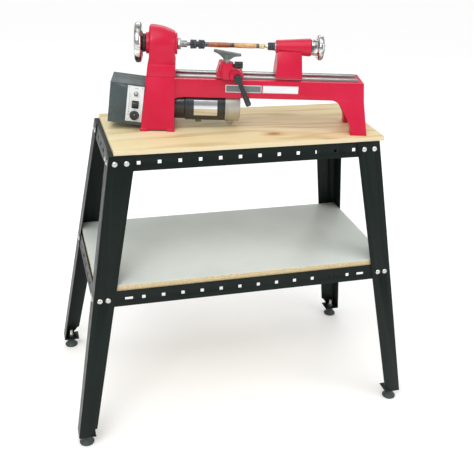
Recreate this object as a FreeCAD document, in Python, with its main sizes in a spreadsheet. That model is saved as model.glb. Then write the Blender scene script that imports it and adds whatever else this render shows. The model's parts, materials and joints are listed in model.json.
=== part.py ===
import FreeCAD, Part
import math
import os
import re
import Sketcher
from FreeCAD import Placement, Rotation, Vector

# Small wood lathe on a splayed-leg steel stand, with a pen mandrel between centres.
# Millimetres. Stand frame: origin on the floor below the stand's middle, X along the
# long side, Y to the back, Z up. The lathe is drawn in its own frame, with X along the
# spindle and Z = 0 on the bench top, and stands on the bench turned by lathe_turn.

driving = {
    # stand: angle-steel legs, bent rails, board and shelf
    "top_x": 689.4, "top_y": 294, "frame_high": 762, "lean_x": 0.155, "lean_y": 0.141,
    "leg_gauge": 2.5, "leg_low": 30, "leg_top_wide": 63, "leg_low_wide": 44,
    "side_top_wide": 50, "side_low_wide": 40, "leg_corner_cut": 14,
    "rail_gauge": 2.5, "rail_high": 38.8, "rail_flange": 28, "rail_play": 0.5,
    "shelf_rail_top": 423.9, "hole_pitch": 50, "hole_wide": 9, "long_margin": 66,
    "shelf_margin": 118, "end_margin": 80, "slot_wide": 20, "slot_high": 7, "slot_from_end": 88,
    "board_thick": 12, "board_over_x": 0.6, "board_in_y": 2, "board_shift": 12,
    "shelf_thick": 16, "shelf_play": 1.5,
    "bolt_radius": 3, "bolt_head": 6.5, "bolt_dome": 7.5, "bolt_brim": 0.8, "bolt_crown": 3.6,
    "bolt_gap": 0.3, "bolt_tail": 2.5, "bolt_edge": 16, "bolt_step": 28, "low_bolt_step": 20,
    "nut_radius": 5.8, "nut_high": 4,
    "foot_radius": 19, "foot_high": 20, "foot_edge": 4, "foot_neck": 8.5, "foot_in_x": 21,
    "foot_in_y": 20, "stem_radius": 5, "stem_top": 54, "foot_nut": 8.5, "foot_nut_high": 7,
    "foot_gap": 0.3,
    # fits
    "run_gap": 0.05, "free_gap": 0.3,
    # lathe bed, pedestal and leg
    "lathe_turn": -12.8, "axis_high": 205, "bed_top": 129, "way_high": 5, "bed_low": 84,
    "bed_half": 45, "bed_wall": 8, "roof_thick": 12, "slot_half": 11, "way_half": 30,
    "way_bevel": 0.6, "way_end_bevel": 3, "bed_inset": 16, "bed_end_wall": 30,
    "label_up": 14.7, "label_down": 11.5, "label_one": -29.6, "label_one_end": 60,
    "label_two": 63, "label_two_end": 152.4, "bed_end": 306, "beam_end": 313,
    "head_left_low": -238.8, "head_left_top": -221.4, "head_right_low": -156.4,
    "head_right_top": -154.1, "head_under_axis": 42, "head_half_low": 66, "head_half_top": 48.3,
    "head_pad_high": 7, "head_pad_long": 17, "head_pad_out": 2, "head_relief": 4,
    "leg_half_low": 65, "leg_foot_left": 291.6, "leg_foot_right": 333.3, "leg_top_right": 316,
    "leg_foot_deep": 24, "leg_arch_high": 62, "leg_arch_radius": 45, "leg_arch_in": 15,
    "leg_knee_radius": 40, "leg_shin_radius": 60, "leg_root": 225,
    # headstock
    "barrel_left": -218, "barrel_right": -155, "barrel_big": 45, "barrel_small": 30,
    "barrel_bulge": 120, "boss_radius": 26, "boss_left": -226, "boss_right": -149.7,
    "cavity_left": -208, "cavity_right": -176, "cavity_radius": 29, "cavity_half": 34,
    "bearing_radius": 20, "bearing_wide": 11, "bearing_in": 1,
    # spindle line
    "spindle_radius": 10, "spindle_bore": 6, "spindle_left": -255.5, "nose_flange": 14.5,
    "flange_wide": 8.4, "nose_radius": 8.5, "nose_end": -125.6, "taper_long": 60,
    "wheel_radius": 49, "wheel_left": -254, "wheel_wide": 18, "wheel_rim": 10, "rim_crown": 6,
    "hub_radius": 22, "pulley_left": -201, "pulley_wide": 18, "spindle_pulley_radius": 24,
    "motor_pulley_radius": 17, "groove_deep": 3, "pulley_flange": 2, "belt_thick": 3,
    "rod_radius": 3.2, "neck_radius": 4.5, "collet_radius": 11, "collet_wide": 16, "collet_start": -118,
    "collet_gap": 4, "blank_radius": 6.5, "blank_long": 54.4, "blank_one": -73.6,
    "bush_wide": 9.9, "bush_radius": 5.8, "end_bush": 7, "rod_nut": 13.5,
    # tailstock
    "centre_tip_in": 3.5, "centre_cone_end": 74, "centre_body_end": 90.2,
    "centre_body_radius": 9.75, "centre_pin": 4, "quill_radius": 11, "quill_end": 150,
    "quill_bore": 6, "quill_travel": 20, "centre_shank": 110, "barrel_start": 94,
    "barrel_end": 181, "tail_small": 16, "tail_big": 22, "tail_left": 95, "tail_right": 161,
    "tail_in": 3.5, "tail_half_low": 38, "tail_half_top": 19, "tail_under_axis": 8, "tail_foot": 8,
    "screw_radius": 4, "tail_wheel_radius": 31, "tail_hub": 20, "tail_rim_left": 197,
    "tail_rim_wide": 15, "tail_rim_deep": 7, "tail_rim_crown": 4, "tail_knob": 10, "tail_knob_end": 217,
    "clamp_thick": 7, "clamp_stud": 5, "clamp_half": 20, "tail_lever_long": 62,
    "tail_lever_high": 22, "tail_lever_pin": 5, "tail_lever_hub": 9, "tail_lever_angle": 60,
    # banjo and tool rest
    "post_x": -28, "post_y": -47, "post_radius": 6.5, "boss_wall": 9, "boss_under_rest": 8,
    "slab_left": -42, "slab_right": 13, "slab_back": 42, "slab_front": 56, "slab_thick": 10.5,
    "flank_out": 11, "flank_front": 36, "flank_back": 14, "stud_head": 9, "stud_head_high": 6,
    "cam_x": -1, "cam_up": 5, "cam_ring": 18, "cam_ring_left": 3.5, "cam_front": 60, "cam_hub": 11,
    "cam_pin": 6, "cam_lip": 4, "cam_ring_step": 5, "cam_lever_long": 72, "cam_lever_tilt": 24.4,
    "cam_lever_root": 6.5, "cam_lever_tip": 6.2, "cross_travel": 25, "rest_long": 74,
    "rest_drop": 5, "rest_deep": 18, "rest_edge": 6, "rest_turn": -35, "rest_thick": 8,
    "rest_neck": 8.5, "rest_curve": 50, "rest_socket": 12, "post_in": 8, "lock_drop": 6.5, "lock_knob": 8.6,
    "lock_knob_long": 20, "lock_stem": 3.5, "lock_lobe": 3.2, "lock_gap": 3,
    # motor
    "motor_high": 56, "motor_radius": 42, "motor_nose_in": 3, "motor_wall": 4, "motor_seat": 1.2,
    "motor_step": -130, "motor_split": -28, "motor_end": 10, "cap_out": 1,
    "shaft_radius": 5, "rotor_radius": 24, "motor_bearing": 11, "motor_bearing_wide": 7,
    "plate_thick": 0.6, "plate_left": -107, "plate_right": -48, "plate_down": 21, "plate_up": 19,
    "brush_x": -95, "brush_radius": 8, "gland_x": -13, "gland_radius": 6.5, "gland_under_cap": 9,
    "gland_high": 12,
    # control box, square to the pedestal's sloping side
    "box_wide": 84, "box_front": 58, "box_back": 33, "box_low": 12, "box_top": 114,
    "box_wall": 3, "panel_wide": 40, "panel_low": 20, "panel_top": 110, "panel_thick": 0.8,
    "panel_mid": 19.5, "knob_high": 36.2, "knob_radius": 12, "knob_long": 12, "knob_stem": 3,
    "rocker_high": 63.4, "rocker_half": 8, "rocker_tall": 9.6, "rocker_out": 8,
    "toggle_high": 90.4, "toggle_tilt": 14, "toggle_long": 17, "toggle_collar": 6, "pivot_in": 3,
}

# sizes worked out from the driving ones, written in the same words
worked = {
    "shelf_top": "shelf_rail_top + shelf_thick",
    "board_top": "frame_high + board_thick",
    "way_top": "bed_top + way_high",
    "roof_low": "bed_top - roof_thick",
    "ledge_high": "axis_high - head_under_axis",
    "head_lean": "(head_left_top - head_left_low) / ledge_high",
    "label_low": "bed_low + label_up",
    "label_high": "bed_top - label_down",
    "wheel_right": "wheel_left + wheel_wide",
    "flange_left": "boss_right + free_gap",
    "flange_right": "flange_left + flange_wide",
    "pulley_right": "pulley_left + pulley_wide",
    "collet_two": "collet_start + collet_wide + collet_gap",
    "collets_end": "collet_two + collet_wide",
    "blank_one_end": "blank_one + blank_long",
    "blank_two": "blank_one_end + bush_wide",
    "blank_two_end": "blank_two + blank_long",
    "rod_nut_start": "blank_two_end + end_bush",
    "rod_end": "rod_nut_start + rod_nut",
    "centre_tip": "rod_end - centre_tip_in",
    "barrel_bore_end": "quill_end + quill_travel + 2",
    "screw_start": "centre_shank + quill_travel + 1",
    "cam_ring_back": "bed_half + free_gap + 0.7",
    "slab_low": "way_top + free_gap",
    "slab_top": "slab_low + slab_thick",
    "cam_high": "way_top + cam_up",
    "tail_pin": "slab_low + tail_lever_high",
    "rest_top": "axis_high - rest_drop",
    "rest_low": "rest_top - rest_deep",
    "boss_top": "rest_low - boss_under_rest",
    "lock_high": "boss_top - lock_drop",
    "rib_top": "boss_top - 8",
    "rib_step": "lock_high - lock_knob - 1.5",
    "clamp_top": "roof_low - free_gap",
    "clamp_low": "clamp_top - clamp_thick",
    "head_face": "head_right_low - motor_seat",
    "knob_left": "post_x + post_radius + boss_wall + lock_gap",
    "motor_nose": "motor_radius - motor_nose_in",
    "cap_radius": "motor_radius + cap_out",
    "gland_low": "motor_high - cap_radius - gland_under_cap",
    "plate_low": "motor_high - plate_down",
    "plate_high": "motor_high + plate_up",
    "panel_face": "-box_front - panel_thick",
    "pivot_y": "-box_front + pivot_in",
    "wheel_round": "(wheel_wide^2/4 + rim_crown^2) / (2*rim_crown)",
    "tail_wheel_round": "(tail_rim_wide^2/4 + tail_rim_crown^2) / (2*tail_rim_crown)",
}

far = 400  # half the size of a cutting block that only has to reach past the work

doc = FreeCAD.newDocument("WoodLathe")
sheet = doc.addObject("Spreadsheet::Sheet", "Dims")
for row, (alias, number) in enumerate(driving.items(), 1):
    sheet.set(f"A{row}", alias)
    sheet.set(f"B{row}", str(number))
    sheet.setAlias(f"B{row}", alias)
doc.recompute()

word = re.compile(r"\b[a-z]\w*\b")


def bound(text):
    """The expression that FreeCAD reads: each word becomes its cell or its worked size."""
    def cell(match):
        name = match.group(0)
        if name in worked:
            return f"({bound(worked[name])})"
        return f"Dims.{name}" if name in driving else name
    return word.sub(cell, str(text))


def value(text):
    answer = sheet.evalExpression(bound(text))
    return float(getattr(answer, "Value", answer))


def bind(thing, **sizes):
    for name, text in sizes.items():
        thing.setExpression(name.replace("__", "."), bound(text))
    return thing


def seat(thing, x=0, y=0, z=0, axis=Vector(0, 0, 1), angle=0):
    """Gives an object its place, each coordinate and the turn tied to the sheet."""
    thing.Placement = Placement(Vector(value(x), value(y), value(z)), Rotation(axis, value(angle)))
    bind(thing, Placement__Base__x=x, Placement__Base__y=y, Placement__Base__z=z)
    if angle != 0:
        bind(thing, Placement__Rotation__Angle=angle)
    return thing


# shapes

def box(x, y, z):
    solid = doc.addObject("Part::Box", "block")
    bind(solid, Length=f"({x[1]})-({x[0]})", Width=f"({y[1]})-({y[0]})", Height=f"({z[1]})-({z[0]})")
    return seat(solid, x[0], y[0], z[0])


along = {"x": (Vector(0, 1, 0), 90), "y": (Vector(1, 0, 0), -90), "z": (Vector(0, 0, 1), 0)}


def base_point(axis, centre, start):
    a, b = centre
    return {"x": (start, a, b), "y": (a, start, b), "z": (a, b, start)}[axis]


def rod(axis, centre, ends, radius):
    solid = doc.addObject("Part::Cylinder", "rod")
    bind(solid, Radius=radius, Height=f"({ends[1]})-({ends[0]})")
    return seat(solid, *base_point(axis, centre, ends[0]), *along[axis])


def cone(axis, centre, ends, radii):
    solid = doc.addObject("Part::Cone", "cone")
    bind(solid, Radius1=radii[0], Radius2=radii[1], Height=f"({ends[1]})-({ends[0]})")
    return seat(solid, *base_point(axis, centre, ends[0]), *along[axis])


def hexagon(axis, centre, ends, radius):
    solid = doc.addObject("Part::Prism", "hexagon")
    solid.Polygon = 6
    bind(solid, Circumradius=radius, Height=f"({ends[1]})-({ends[0]})")
    return seat(solid, *base_point(axis, centre, ends[0]), *along[axis])


def leaning(z, low_x, low_y, top_x, top_y):
    """A block whose section changes from its bottom to its top, as a bent leg's does."""
    solid = doc.addObject("Part::Wedge", "leaning")
    bind(solid, Ymin=z[0], Ymax=z[1], Xmin=low_x[0], Xmax=low_x[1], X2min=top_x[0], X2max=top_x[1],
         Zmin=f"-({low_y[1]})", Zmax=f"-({low_y[0]})", Z2min=f"-({top_y[1]})", Z2max=f"-({top_y[0]})")
    return seat(solid, axis=Vector(1, 0, 0), angle=90)


def several(kind, solids):
    joined = doc.addObject(kind, kind.split("::")[1].lower())
    if kind == "Part::Compound":
        joined.Links = solids
    else:
        joined.Shapes = solids
    return joined


def fuse(*solids):
    return several("Part::MultiFuse", list(solids)) if len(solids) > 1 else solids[0]


def common(*solids):
    return several("Part::MultiCommon", list(solids))


def cut(base, *tools):
    hollow = doc.addObject("Part::Cut", "cut")
    hollow.Base = base
    hollow.Tool = fuse(*tools)
    return hollow


def held(solids, **place):
    """Solids kept together, and turned or moved as one."""
    return seat(several("Part::Compound", list(solids)), **place)


def outlined(body, plane, outline):
    """A closed sketch through the outline's points. A point's third value is the radius of
    an arc to the next point, which bulges to the left of the way for a positive radius."""
    sketch = body.newObject("Sketcher::SketchObject", "outline")
    origin_plane = [item for item in body.Origin.OriginFeatures if item.Role == plane][0]
    sketch.AttachmentSupport = [(origin_plane, "")]
    sketch.MapMode = "FlatFace"
    corners = [Vector(value(point[0]), value(point[1]), 0) for point in outline]
    count = len(outline)
    starts = []
    for index, point in enumerate(outline):
        here, there = corners[index], corners[(index + 1) % count]
        if len(point) == 2:
            sketch.addGeometry(Part.LineSegment(here, there))
            starts.append(1)
            continue
        size = value(point[2])
        chord = there - here
        left = Vector(-chord.y, chord.x, 0).normalize() * math.copysign(1, size)
        rise = math.sqrt(size ** 2 - (chord.Length / 2) ** 2)
        middle = here + chord / 2 - left * rise
        first, last = (there, here) if size > 0 else (here, there)
        turns = [math.atan2(end.y - middle.y, end.x - middle.x) for end in (first, last)]
        circle = Part.Circle(middle, Vector(0, 0, 1), abs(size))
        sketch.addGeometry(Part.ArcOfCircle(circle, turns[0], turns[1]))
        starts.append(2 if size > 0 else 1)
    for index, point in enumerate(outline):
        after = (index + 1) % count
        sketch.addConstraint(Sketcher.Constraint("Coincident", index, 3 - starts[index], after,
                                                 starts[after]))
        for kind, text in (("DistanceX", point[0]), ("DistanceY", point[1])):
            rule = Sketcher.Constraint(kind, -1, 1, index, starts[index], value(text))
            sketch.setExpression(f"Constraints[{sketch.addConstraint(rule)}]", bound(text))
        if len(point) == 3:
            rule = Sketcher.Constraint("Radius", index, abs(value(point[2])))
            sketch.setExpression(f"Constraints[{sketch.addConstraint(rule)}]", bound(f"abs({point[2]})"))
    doc.recompute()
    return sketch


def turned(axis, centre, outline):
    """A body turned about an axis, from points of (place along the axis, radius)."""
    body = doc.addObject("PartDesign::Body", "turned")
    sketch = outlined(body, "XZ_Plane", outline)
    turn = body.newObject("PartDesign::Revolution", "turn")
    turn.Profile = sketch
    turn.ReferenceAxis = (sketch, ["H_Axis"])
    turn.Angle = 360
    ways = {"x": (Vector(0, 0, 1), 0), "y": (Vector(0, 0, 1), 90), "z": (Vector(0, 1, 0), -90)}
    return seat(body, *base_point(axis, centre, 0), *ways[axis])


def prism(plane, outline, ends):
    """A body padded from an outline in the named plane, between two places along its normal."""
    body = doc.addObject("PartDesign::Body", "prism")
    sketch = outlined(body, plane, outline)
    start = f"-({ends[1]})" if plane == "XZ_Plane" else ends[0]
    sketch.AttachmentOffset = Placement(Vector(0, 0, value(start)), Rotation())
    bind(sketch, AttachmentOffset__Base__z=start)
    pad = body.newObject("PartDesign::Pad", "pad")
    pad.Profile = sketch
    bind(pad, Length=f"({ends[1]})-({ends[0]})")
    return body


nodes = []
axis_y = Vector(0, 1, 0)


def node(label, solid):
    solid.Label = label
    nodes.append(solid)


def stand_node(label, *solids):
    node(label, several("Part::Compound", list(solids)))


def lathe_node(label, *solids):
    """A sub-part drawn in the lathe's frame, put on the bench and turned with the lathe."""
    node(label, held(solids, z="board_top", angle="lathe_turn"))


# stand

def outer(way, high):
    """Distance of the legs' outer faces from the stand's middle at a height."""
    return f"(top_{way}/2 + lean_{way}*(frame_high-({high})))"


def side_span(side, far, near):
    return (near, far) if side > 0 else (f"-({far})", f"-({near})")


def less(text, *takes):
    return "-".join([f"({text})", *[f"({take})" for take in takes]])


bolt_joints = []
for high, step in (("frame_high - rail_high/2", "bolt_step"),
                   ("shelf_rail_top - rail_high/2", "low_bolt_step")):
    for side_x in (-1, 1):
        for side_y in (-1, 1):
            for place in ("bolt_edge", f"bolt_edge + {step}"):
                bolt_joints.append(("front", high, side_x, side_y, place))
                bolt_joints.append(("side", high, side_x, side_y, place))


def at_bolt(solid, face, high, side_x, side_y, place):
    """Puts a solid drawn along +Z on a leg's face, where +Z points straight out of it."""
    if face == "front":
        return held([solid], x=f"{side_x}*({less(outer('x', high), place)})",
                    y=f"{side_y}*{outer('y', high)}",
                    z=high, axis=Vector(-side_y, 0, 0), angle="90 - atan(lean_y) / 1 deg")
    return held([solid], x=f"{side_x}*{outer('x', high)}", y=f"{side_y}*({less(outer('y', high), place)})",
                z=high, axis=Vector(0, side_x, 0), angle="90 - atan(lean_x) / 1 deg")


def bolt_holes(chosen):
    hole = rod("z", (0, 0), ("-leg_gauge - rail_gauge - 3", "3"), "bolt_radius + bolt_gap")
    return [at_bolt(hole, *joint) for joint in bolt_joints if chosen(*joint)]


def leg(side_x, side_y):
    low, top = "leg_low", "frame_high"
    spans = {}
    for way, side, wide in (("x", side_x, ("leg_low_wide", "leg_top_wide")),
                            ("y", side_y, ("side_low_wide", "side_top_wide"))):
        for high, across in ((low, wide[0]), (top, wide[1])):
            far = outer(way, high)
            spans[way, high, "flange"] = side_span(side, far, less(far, across))
            spans[way, high, "skin"] = side_span(side, far, less(far, "leg_gauge"))
    front = leaning((low, top), spans["x", low, "flange"], spans["y", low, "skin"],
                    spans["x", top, "flange"], spans["y", top, "skin"])
    side = leaning((low, top), spans["x", low, "skin"], spans["y", low, "flange"],
                   spans["x", top, "skin"], spans["y", top, "flange"])
    far_x, far_y = outer("x", low), outer("y", low)
    tab = box(side_span(side_x, less(far_x, "leg_gauge*0.4"), less(far_x, "leg_low_wide")),
              side_span(side_y, less(far_y, "leg_gauge*0.4"), less(far_y, "side_low_wide")),
              (low, f"{low} + leg_gauge"))
    inner = less(far_x, "leg_low_wide")
    corner = leaning((f"{low} + leg_gauge", f"{low} + leg_gauge + leg_corner_cut*1.4"),
                     side_span(side_x, f"{inner} + leg_corner_cut", f"{inner} - 2"),
                     side_span(side_y, f"{far_y} + 2", less(far_y, "leg_gauge*2.5")),
                     side_span(side_x, f"{inner} + 0.1", f"{inner} - 4"),
                     side_span(side_y, f"{far_y} + 2", less(far_y, "leg_gauge*2.5")))
    stem_hole = rod("z", foot_place(side_x, side_y), ("0", f"{low} + 10"), "stem_radius + free_gap")
    holes = bolt_holes(lambda face, high, x, y, place: (x, y) == (side_x, side_y))
    return cut(fuse(front, side, tab), corner, stem_hole, *holes)


def foot_place(side_x, side_y):
    return (f"{side_x}*({less(outer('x', 'leg_low'), 'foot_in_x')})",
            f"{side_y}*({less(outer('y', 'leg_low'), 'foot_in_y')})")


def hole_places(reach, margin):
    """Middles of the spare holes, one pitch apart, that fit between a rail's two end margins."""
    count = int((2 * value(reach) - 2 * value(margin)) / value("hole_pitch")) + 1
    return [f"{number - (count - 1) / 2}*hole_pitch" for number in range(count)]


def long_rail(side, top, margin, slots):
    """Front or back rail: a leaning face inside the legs, with a lip turned in at its top."""
    low = f"{top} - rail_high"
    reach = {high: less(outer("x", high), "leg_gauge", "rail_play") for high in (low, top)}
    skin = {high: side_span(side, less(outer("y", high), "leg_gauge"),
                            less(outer("y", high), "leg_gauge", "rail_gauge")) for high in (low, top)}
    face = leaning((low, top), (f"-({reach[low]})", reach[low]), skin[low],
                   (f"-({reach[top]})", reach[top]), skin[top])
    lip_end = less(reach[top], "rail_gauge")
    lip = box((f"-({lip_end})", lip_end),
              side_span(side, less(outer("y", top), "leg_gauge*1.2"),
                        less(outer("y", top), "leg_gauge", "rail_flange")),
              (f"{top} - rail_gauge", top))
    middle = f"{top} - rail_high/2"
    across = side_span(side, outer("y", low), less(outer("y", top), "leg_gauge", "rail_gauge*3"))
    tools = bolt_holes(lambda face, high, x, y, place: (face, high, y) == ("front", middle, side))
    for x in hole_places(reach[top], margin):
        tools.append(box((f"{x} - hole_wide/2", f"{x} + hole_wide/2"), across,
                         (f"{middle} - hole_wide/2", f"{middle} + hole_wide/2")))
    for end in slots:
        x = f"{end}*({less(outer('x', middle), 'slot_from_end')})"
        tools.append(box((f"{x} - slot_wide/2", f"{x} + slot_wide/2"), across,
                         (f"{middle} - slot_high/2", f"{middle} + slot_high/2")))
    return cut(fuse(face, lip), *tools)


def side_rail(side, top):
    """End rail, shorter so that it stops behind the long rails."""
    low = f"{top} - rail_high"
    reach = {high: less(outer("y", high), "leg_gauge", "rail_gauge", "rail_play") for high in (low, top)}
    skin = {high: side_span(side, less(outer("x", high), "leg_gauge"),
                            less(outer("x", high), "leg_gauge", "rail_gauge")) for high in (low, top)}
    face = leaning((low, top), skin[low], (f"-({reach[low]})", reach[low]),
                   skin[top], (f"-({reach[top]})", reach[top]))
    lip_end = less(outer("y", top), "leg_gauge", "rail_flange", "rail_play")
    lip = box(side_span(side, less(outer("x", top), "leg_gauge*1.2"),
                        less(outer("x", top), "leg_gauge", "rail_flange")),
              (f"-({lip_end})", lip_end), (f"{top} - rail_gauge", top))
    middle = f"{top} - rail_high/2"
    tools = bolt_holes(lambda face, high, x, y, place: (face, high, x) == ("side", middle, side))
    for y in hole_places(reach[top], "end_margin"):
        tools.append(box(side_span(side, outer("x", low), less(outer("x", top), "leg_gauge", "rail_gauge*3")),
                         (f"{y} - hole_wide/2", f"{y} + hole_wide/2"),
                         (f"{middle} - hole_wide/2", f"{middle} + hole_wide/2")))
    return cut(fuse(face, lip), *tools)


def stand():
    corners = {"front_left": (-1, -1), "front_right": (1, -1), "rear_left": (-1, 1), "rear_right": (1, 1)}
    for name, sides in corners.items():
        stand_node(f"leg_{name}", leg(*sides))
    for name, top, margin, slots in (("top", "frame_high", "long_margin", ()),
                                     ("shelf", "shelf_rail_top", "shelf_margin", (-1, 1))):
        stand_node(f"{name}_long_rails", *[long_rail(side, top, margin, slots) for side in (-1, 1)])
        stand_node(f"{name}_end_rails", *[side_rail(side, top) for side in (-1, 1)])
    half_long, half_deep = "(top_x + board_over_x)/2", "(top_y - board_in_y)/2"
    stand_node("bench_top", box((f"board_shift - {half_long}", f"board_shift + {half_long}"),
                                (f"-{half_deep}", half_deep), ("frame_high", "board_top")))
    shelf = {way: less(outer(way, "shelf_top"), "leg_gauge", "shelf_play") for way in "xy"}
    stand_node("shelf_board", box((f"-({shelf['x']})", shelf["x"]), (f"-({shelf['y']})", shelf["y"]),
                                  ("shelf_rail_top", "shelf_top")))
    grip = "-leg_gauge - rail_gauge"
    bolt = fuse(rod("z", (0, 0), (f"{grip} - nut_high - bolt_tail", "0"), "bolt_radius"),
                turned("z", (0, 0), [("0", "0"), ("0", "bolt_head"), ("bolt_brim", "bolt_head", "bolt_dome"),
                                     ("bolt_crown", "0")]))
    nut = cut(hexagon("z", (0, 0), (f"{grip} - nut_high", grip), "nut_radius"),
              rod("z", (0, 0), (f"{grip} - nut_high - 1", f"{grip} + 1"), "bolt_radius + run_gap"))
    stand_node("stand_bolts", *[at_bolt(bolt, *joint) for joint in bolt_joints])
    lock_nuts = []
    for name, sides in corners.items():
        centre = foot_place(*sides)
        pad = turned("z", centre, [("0", "0"), ("0", "foot_radius - 1"), ("1", "foot_radius"),
                                   ("foot_edge", "foot_radius"), ("foot_high - 2", "foot_neck"),
                                   ("foot_high", "foot_neck"), ("foot_high", "0")])
        stem = rod("z", centre, ("foot_high - 1", "stem_top"), "stem_radius")
        collar = hexagon("z", centre, ("leg_low - foot_gap - foot_nut_high", "leg_low - foot_gap"),
                         "foot_nut")
        stand_node(f"levelling_foot_{name}", fuse(pad, stem, collar))
        nut_low = "leg_low + leg_gauge"
        lock_nuts.append(cut(hexagon("z", centre, (nut_low, f"{nut_low} + foot_nut_high"), "foot_nut"),
                             rod("z", centre, (f"{nut_low} - 1", f"{nut_low} + foot_nut_high + 1"),
                                 "stem_radius + run_gap")))
    stand_node("stand_nuts", *[at_bolt(nut, *joint) for joint in bolt_joints], *lock_nuts)


# lathe bed and headstock

spindle_line = ("0", "axis_high")
motor_line = ("0", "motor_high")


def head_column():
    """The pedestal and the lower headstock, drawn as one so that their faces run on."""
    front = prism("XZ_Plane", [("head_left_low", "0"), ("head_right_low", "0"),
                               ("head_right_top", "ledge_high"),
                               ("head_left_top", "ledge_high")], (-far, far))
    side = prism("YZ_Plane", [("-head_half_low", "0"), ("head_half_low", "0"),
                              ("head_half_top", "ledge_high"),
                              ("-head_half_top", "ledge_high")], (-far, 0))
    return common(front, side)


def cavity():
    """The belt's room, open to the bench below."""
    shaft = box(("cavity_left", "cavity_right"), ("-cavity_half", "cavity_half"), ("-1", "axis_high - 12"))
    return [shaft, rod("x", spindle_line, ("cavity_left", "cavity_right"), "cavity_radius"),
            rod("x", motor_line, ("cavity_right - 1", "head_right_low + 5"), "motor_bearing + 1")]


def bed():
    pedestal = cut(head_column(), box((-far, 0), (-far, far), ("way_top", far)))
    pads = []
    pad_ends = (("head_left_low - head_pad_out", "head_left_low + head_pad_long"),
                ("head_right_low - head_pad_long", "head_right_low + head_pad_out"))
    for left, right in pad_ends:
        pads.append(leaning(("0", "head_pad_high"), (left, right),
                            ("-head_half_low - head_pad_out", "head_half_low + head_pad_out"),
                            (f"{left} + head_pad_out", f"{right} - head_pad_out"),
                            ("-head_half_low", "head_half_low")))
    beam = box(("head_right_low", "beam_end"), ("-bed_half", "bed_half"), ("bed_low", "bed_top"))
    knee = prism("XZ_Plane", [("head_right_low - 3", "bed_low - 9"), ("head_right_low - 3", "bed_low + 5"),
                              ("head_right_low + 40", "bed_low + 5"), ("head_right_low + 28", "bed_low"),
                              ("head_right_low + 8", "bed_low - 2")], ("-bed_half", "bed_half"))
    leg_front = prism("XZ_Plane", [("leg_foot_left", "0"), ("leg_foot_right", "0"),
                                   ("leg_top_right + 5", "bed_low"),
                                   ("leg_top_right", "bed_top"), ("leg_root", "bed_top"),
                                   ("leg_root", "bed_low"),
                                   ("leg_root + 15", "bed_low", "leg_knee_radius"),
                                   ("leg_root + 37", "bed_low - 12"),
                                   ("leg_foot_left - 7", "34", "leg_shin_radius")], (-far, far))
    arch = "bed_half - leg_arch_in"
    leg_side = prism("YZ_Plane", [("-leg_half_low", "0"), ("-leg_half_low + leg_foot_deep", "0"),
                                  (f"-({arch})", "leg_arch_high", "leg_arch_radius"), (arch, "leg_arch_high"),
                                  ("leg_half_low - leg_foot_deep", "0"), ("leg_half_low", "0"),
                                  ("bed_half", "bed_low"), ("bed_half", "bed_top"),
                                  ("-bed_half", "bed_top"), ("-bed_half", "bed_low")], ("leg_root - 1", far))
    end_leg = common(leg_front, leg_side)
    inside = ("head_right_low + bed_inset", "leg_top_right - bed_end_wall")
    hollow = box(inside, ("-bed_half + bed_wall", "bed_half - bed_wall"), ("bed_low - 20", "roof_low"))
    slot = box(inside, ("-slot_half", "slot_half"), ("bed_low", "bed_top + 5"))
    relief = box(("head_left_low + head_pad_long", "head_right_low - head_pad_long"), (-far, far),
                 ("-1", "head_relief"))
    seat_face = rod("x", motor_line, ("head_face", "head_right_low + bed_inset + 1"), "motor_radius + 1")
    lathe_node("bed_casting", cut(fuse(pedestal, *pads, beam, knee, end_leg), *cavity(), hollow, slot, relief,
                                  seat_face))
    ways = []
    for side in (-1, 1):
        ways.append(leaning(("bed_top", "way_top"), ("head_right_low + 4", "bed_end"),
                            side_span(side, "way_half", "slot_half + 1"),
                            ("head_right_low + 4", "bed_end - way_end_bevel"),
                            side_span(side, "way_half - way_bevel", "slot_half + 1 + way_bevel")))
    lathe_node("bed_ways", *ways)
    labels = []
    for start, end in (("label_one", "label_one_end"), ("label_two", "label_two_end")):
        labels.append(box((start, end), ("-bed_half - plate_thick", "-bed_half"),
                          ("label_low", "label_high")))
    lathe_node("bed_label_plates", *labels)


def headstock():
    column = cut(head_column(), box((-far, 0), (-far, far), (-far, "way_top")))
    barrel = turned("x", spindle_line, [("boss_left", "0"), ("boss_left", "boss_radius"),
                                        ("barrel_left", "boss_radius"), ("barrel_left", "barrel_big - 4"),
                                        ("barrel_left + 4", "barrel_big", "barrel_bulge"),
                                        ("barrel_right", "barrel_small"), ("barrel_right", "boss_radius"),
                                        ("boss_right", "boss_radius"), ("boss_right", "0")])
    cheeks = prism("XY_Plane", [("barrel_left", "-(barrel_big - 4)"),
                                ("barrel_left + 4", "-barrel_big", "-barrel_bulge"),
                                ("barrel_right", "-barrel_small"),
                                ("barrel_right", "barrel_small", "-barrel_bulge"),
                                ("barrel_left + 4", "barrel_big"), ("barrel_left", "barrel_big - 4")],
                   ("ledge_high - 5", "axis_high"))
    bore = rod("x", spindle_line, ("boss_left - 1", "boss_right + 1"), "bearing_radius")
    lathe_node("headstock_casting", cut(fuse(column, cheeks, barrel), *cavity()[:2], bore))


def bearings():
    """Four plain rings: two for the spindle in the headstock, two for the motor's rotor."""
    places = [(spindle_line, start, f"{start} + bearing_wide", "bearing_radius", "spindle_radius")
              for start in ("boss_left + bearing_in", "boss_right - bearing_in - bearing_wide")]
    places += [(motor_line, start, f"{start} + motor_bearing_wide", "motor_bearing", "shaft_radius")
               for start in ("head_face + bearing_in", "motor_end - 5 - motor_bearing_wide")]
    rings = []
    for line, start, end, radius, bore in places:
        rings.append(cut(rod("x", line, (start, end), radius),
                         rod("x", line, (f"{start} - 1", f"{end} + 1"), f"{bore} + run_gap")))
    lathe_node("shaft_bearings", *rings)


def ring_outline(points, bore):
    """A turned outline closed along a bore."""
    return [(points[0][0], bore), *points, (points[-1][0], bore)]


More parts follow.
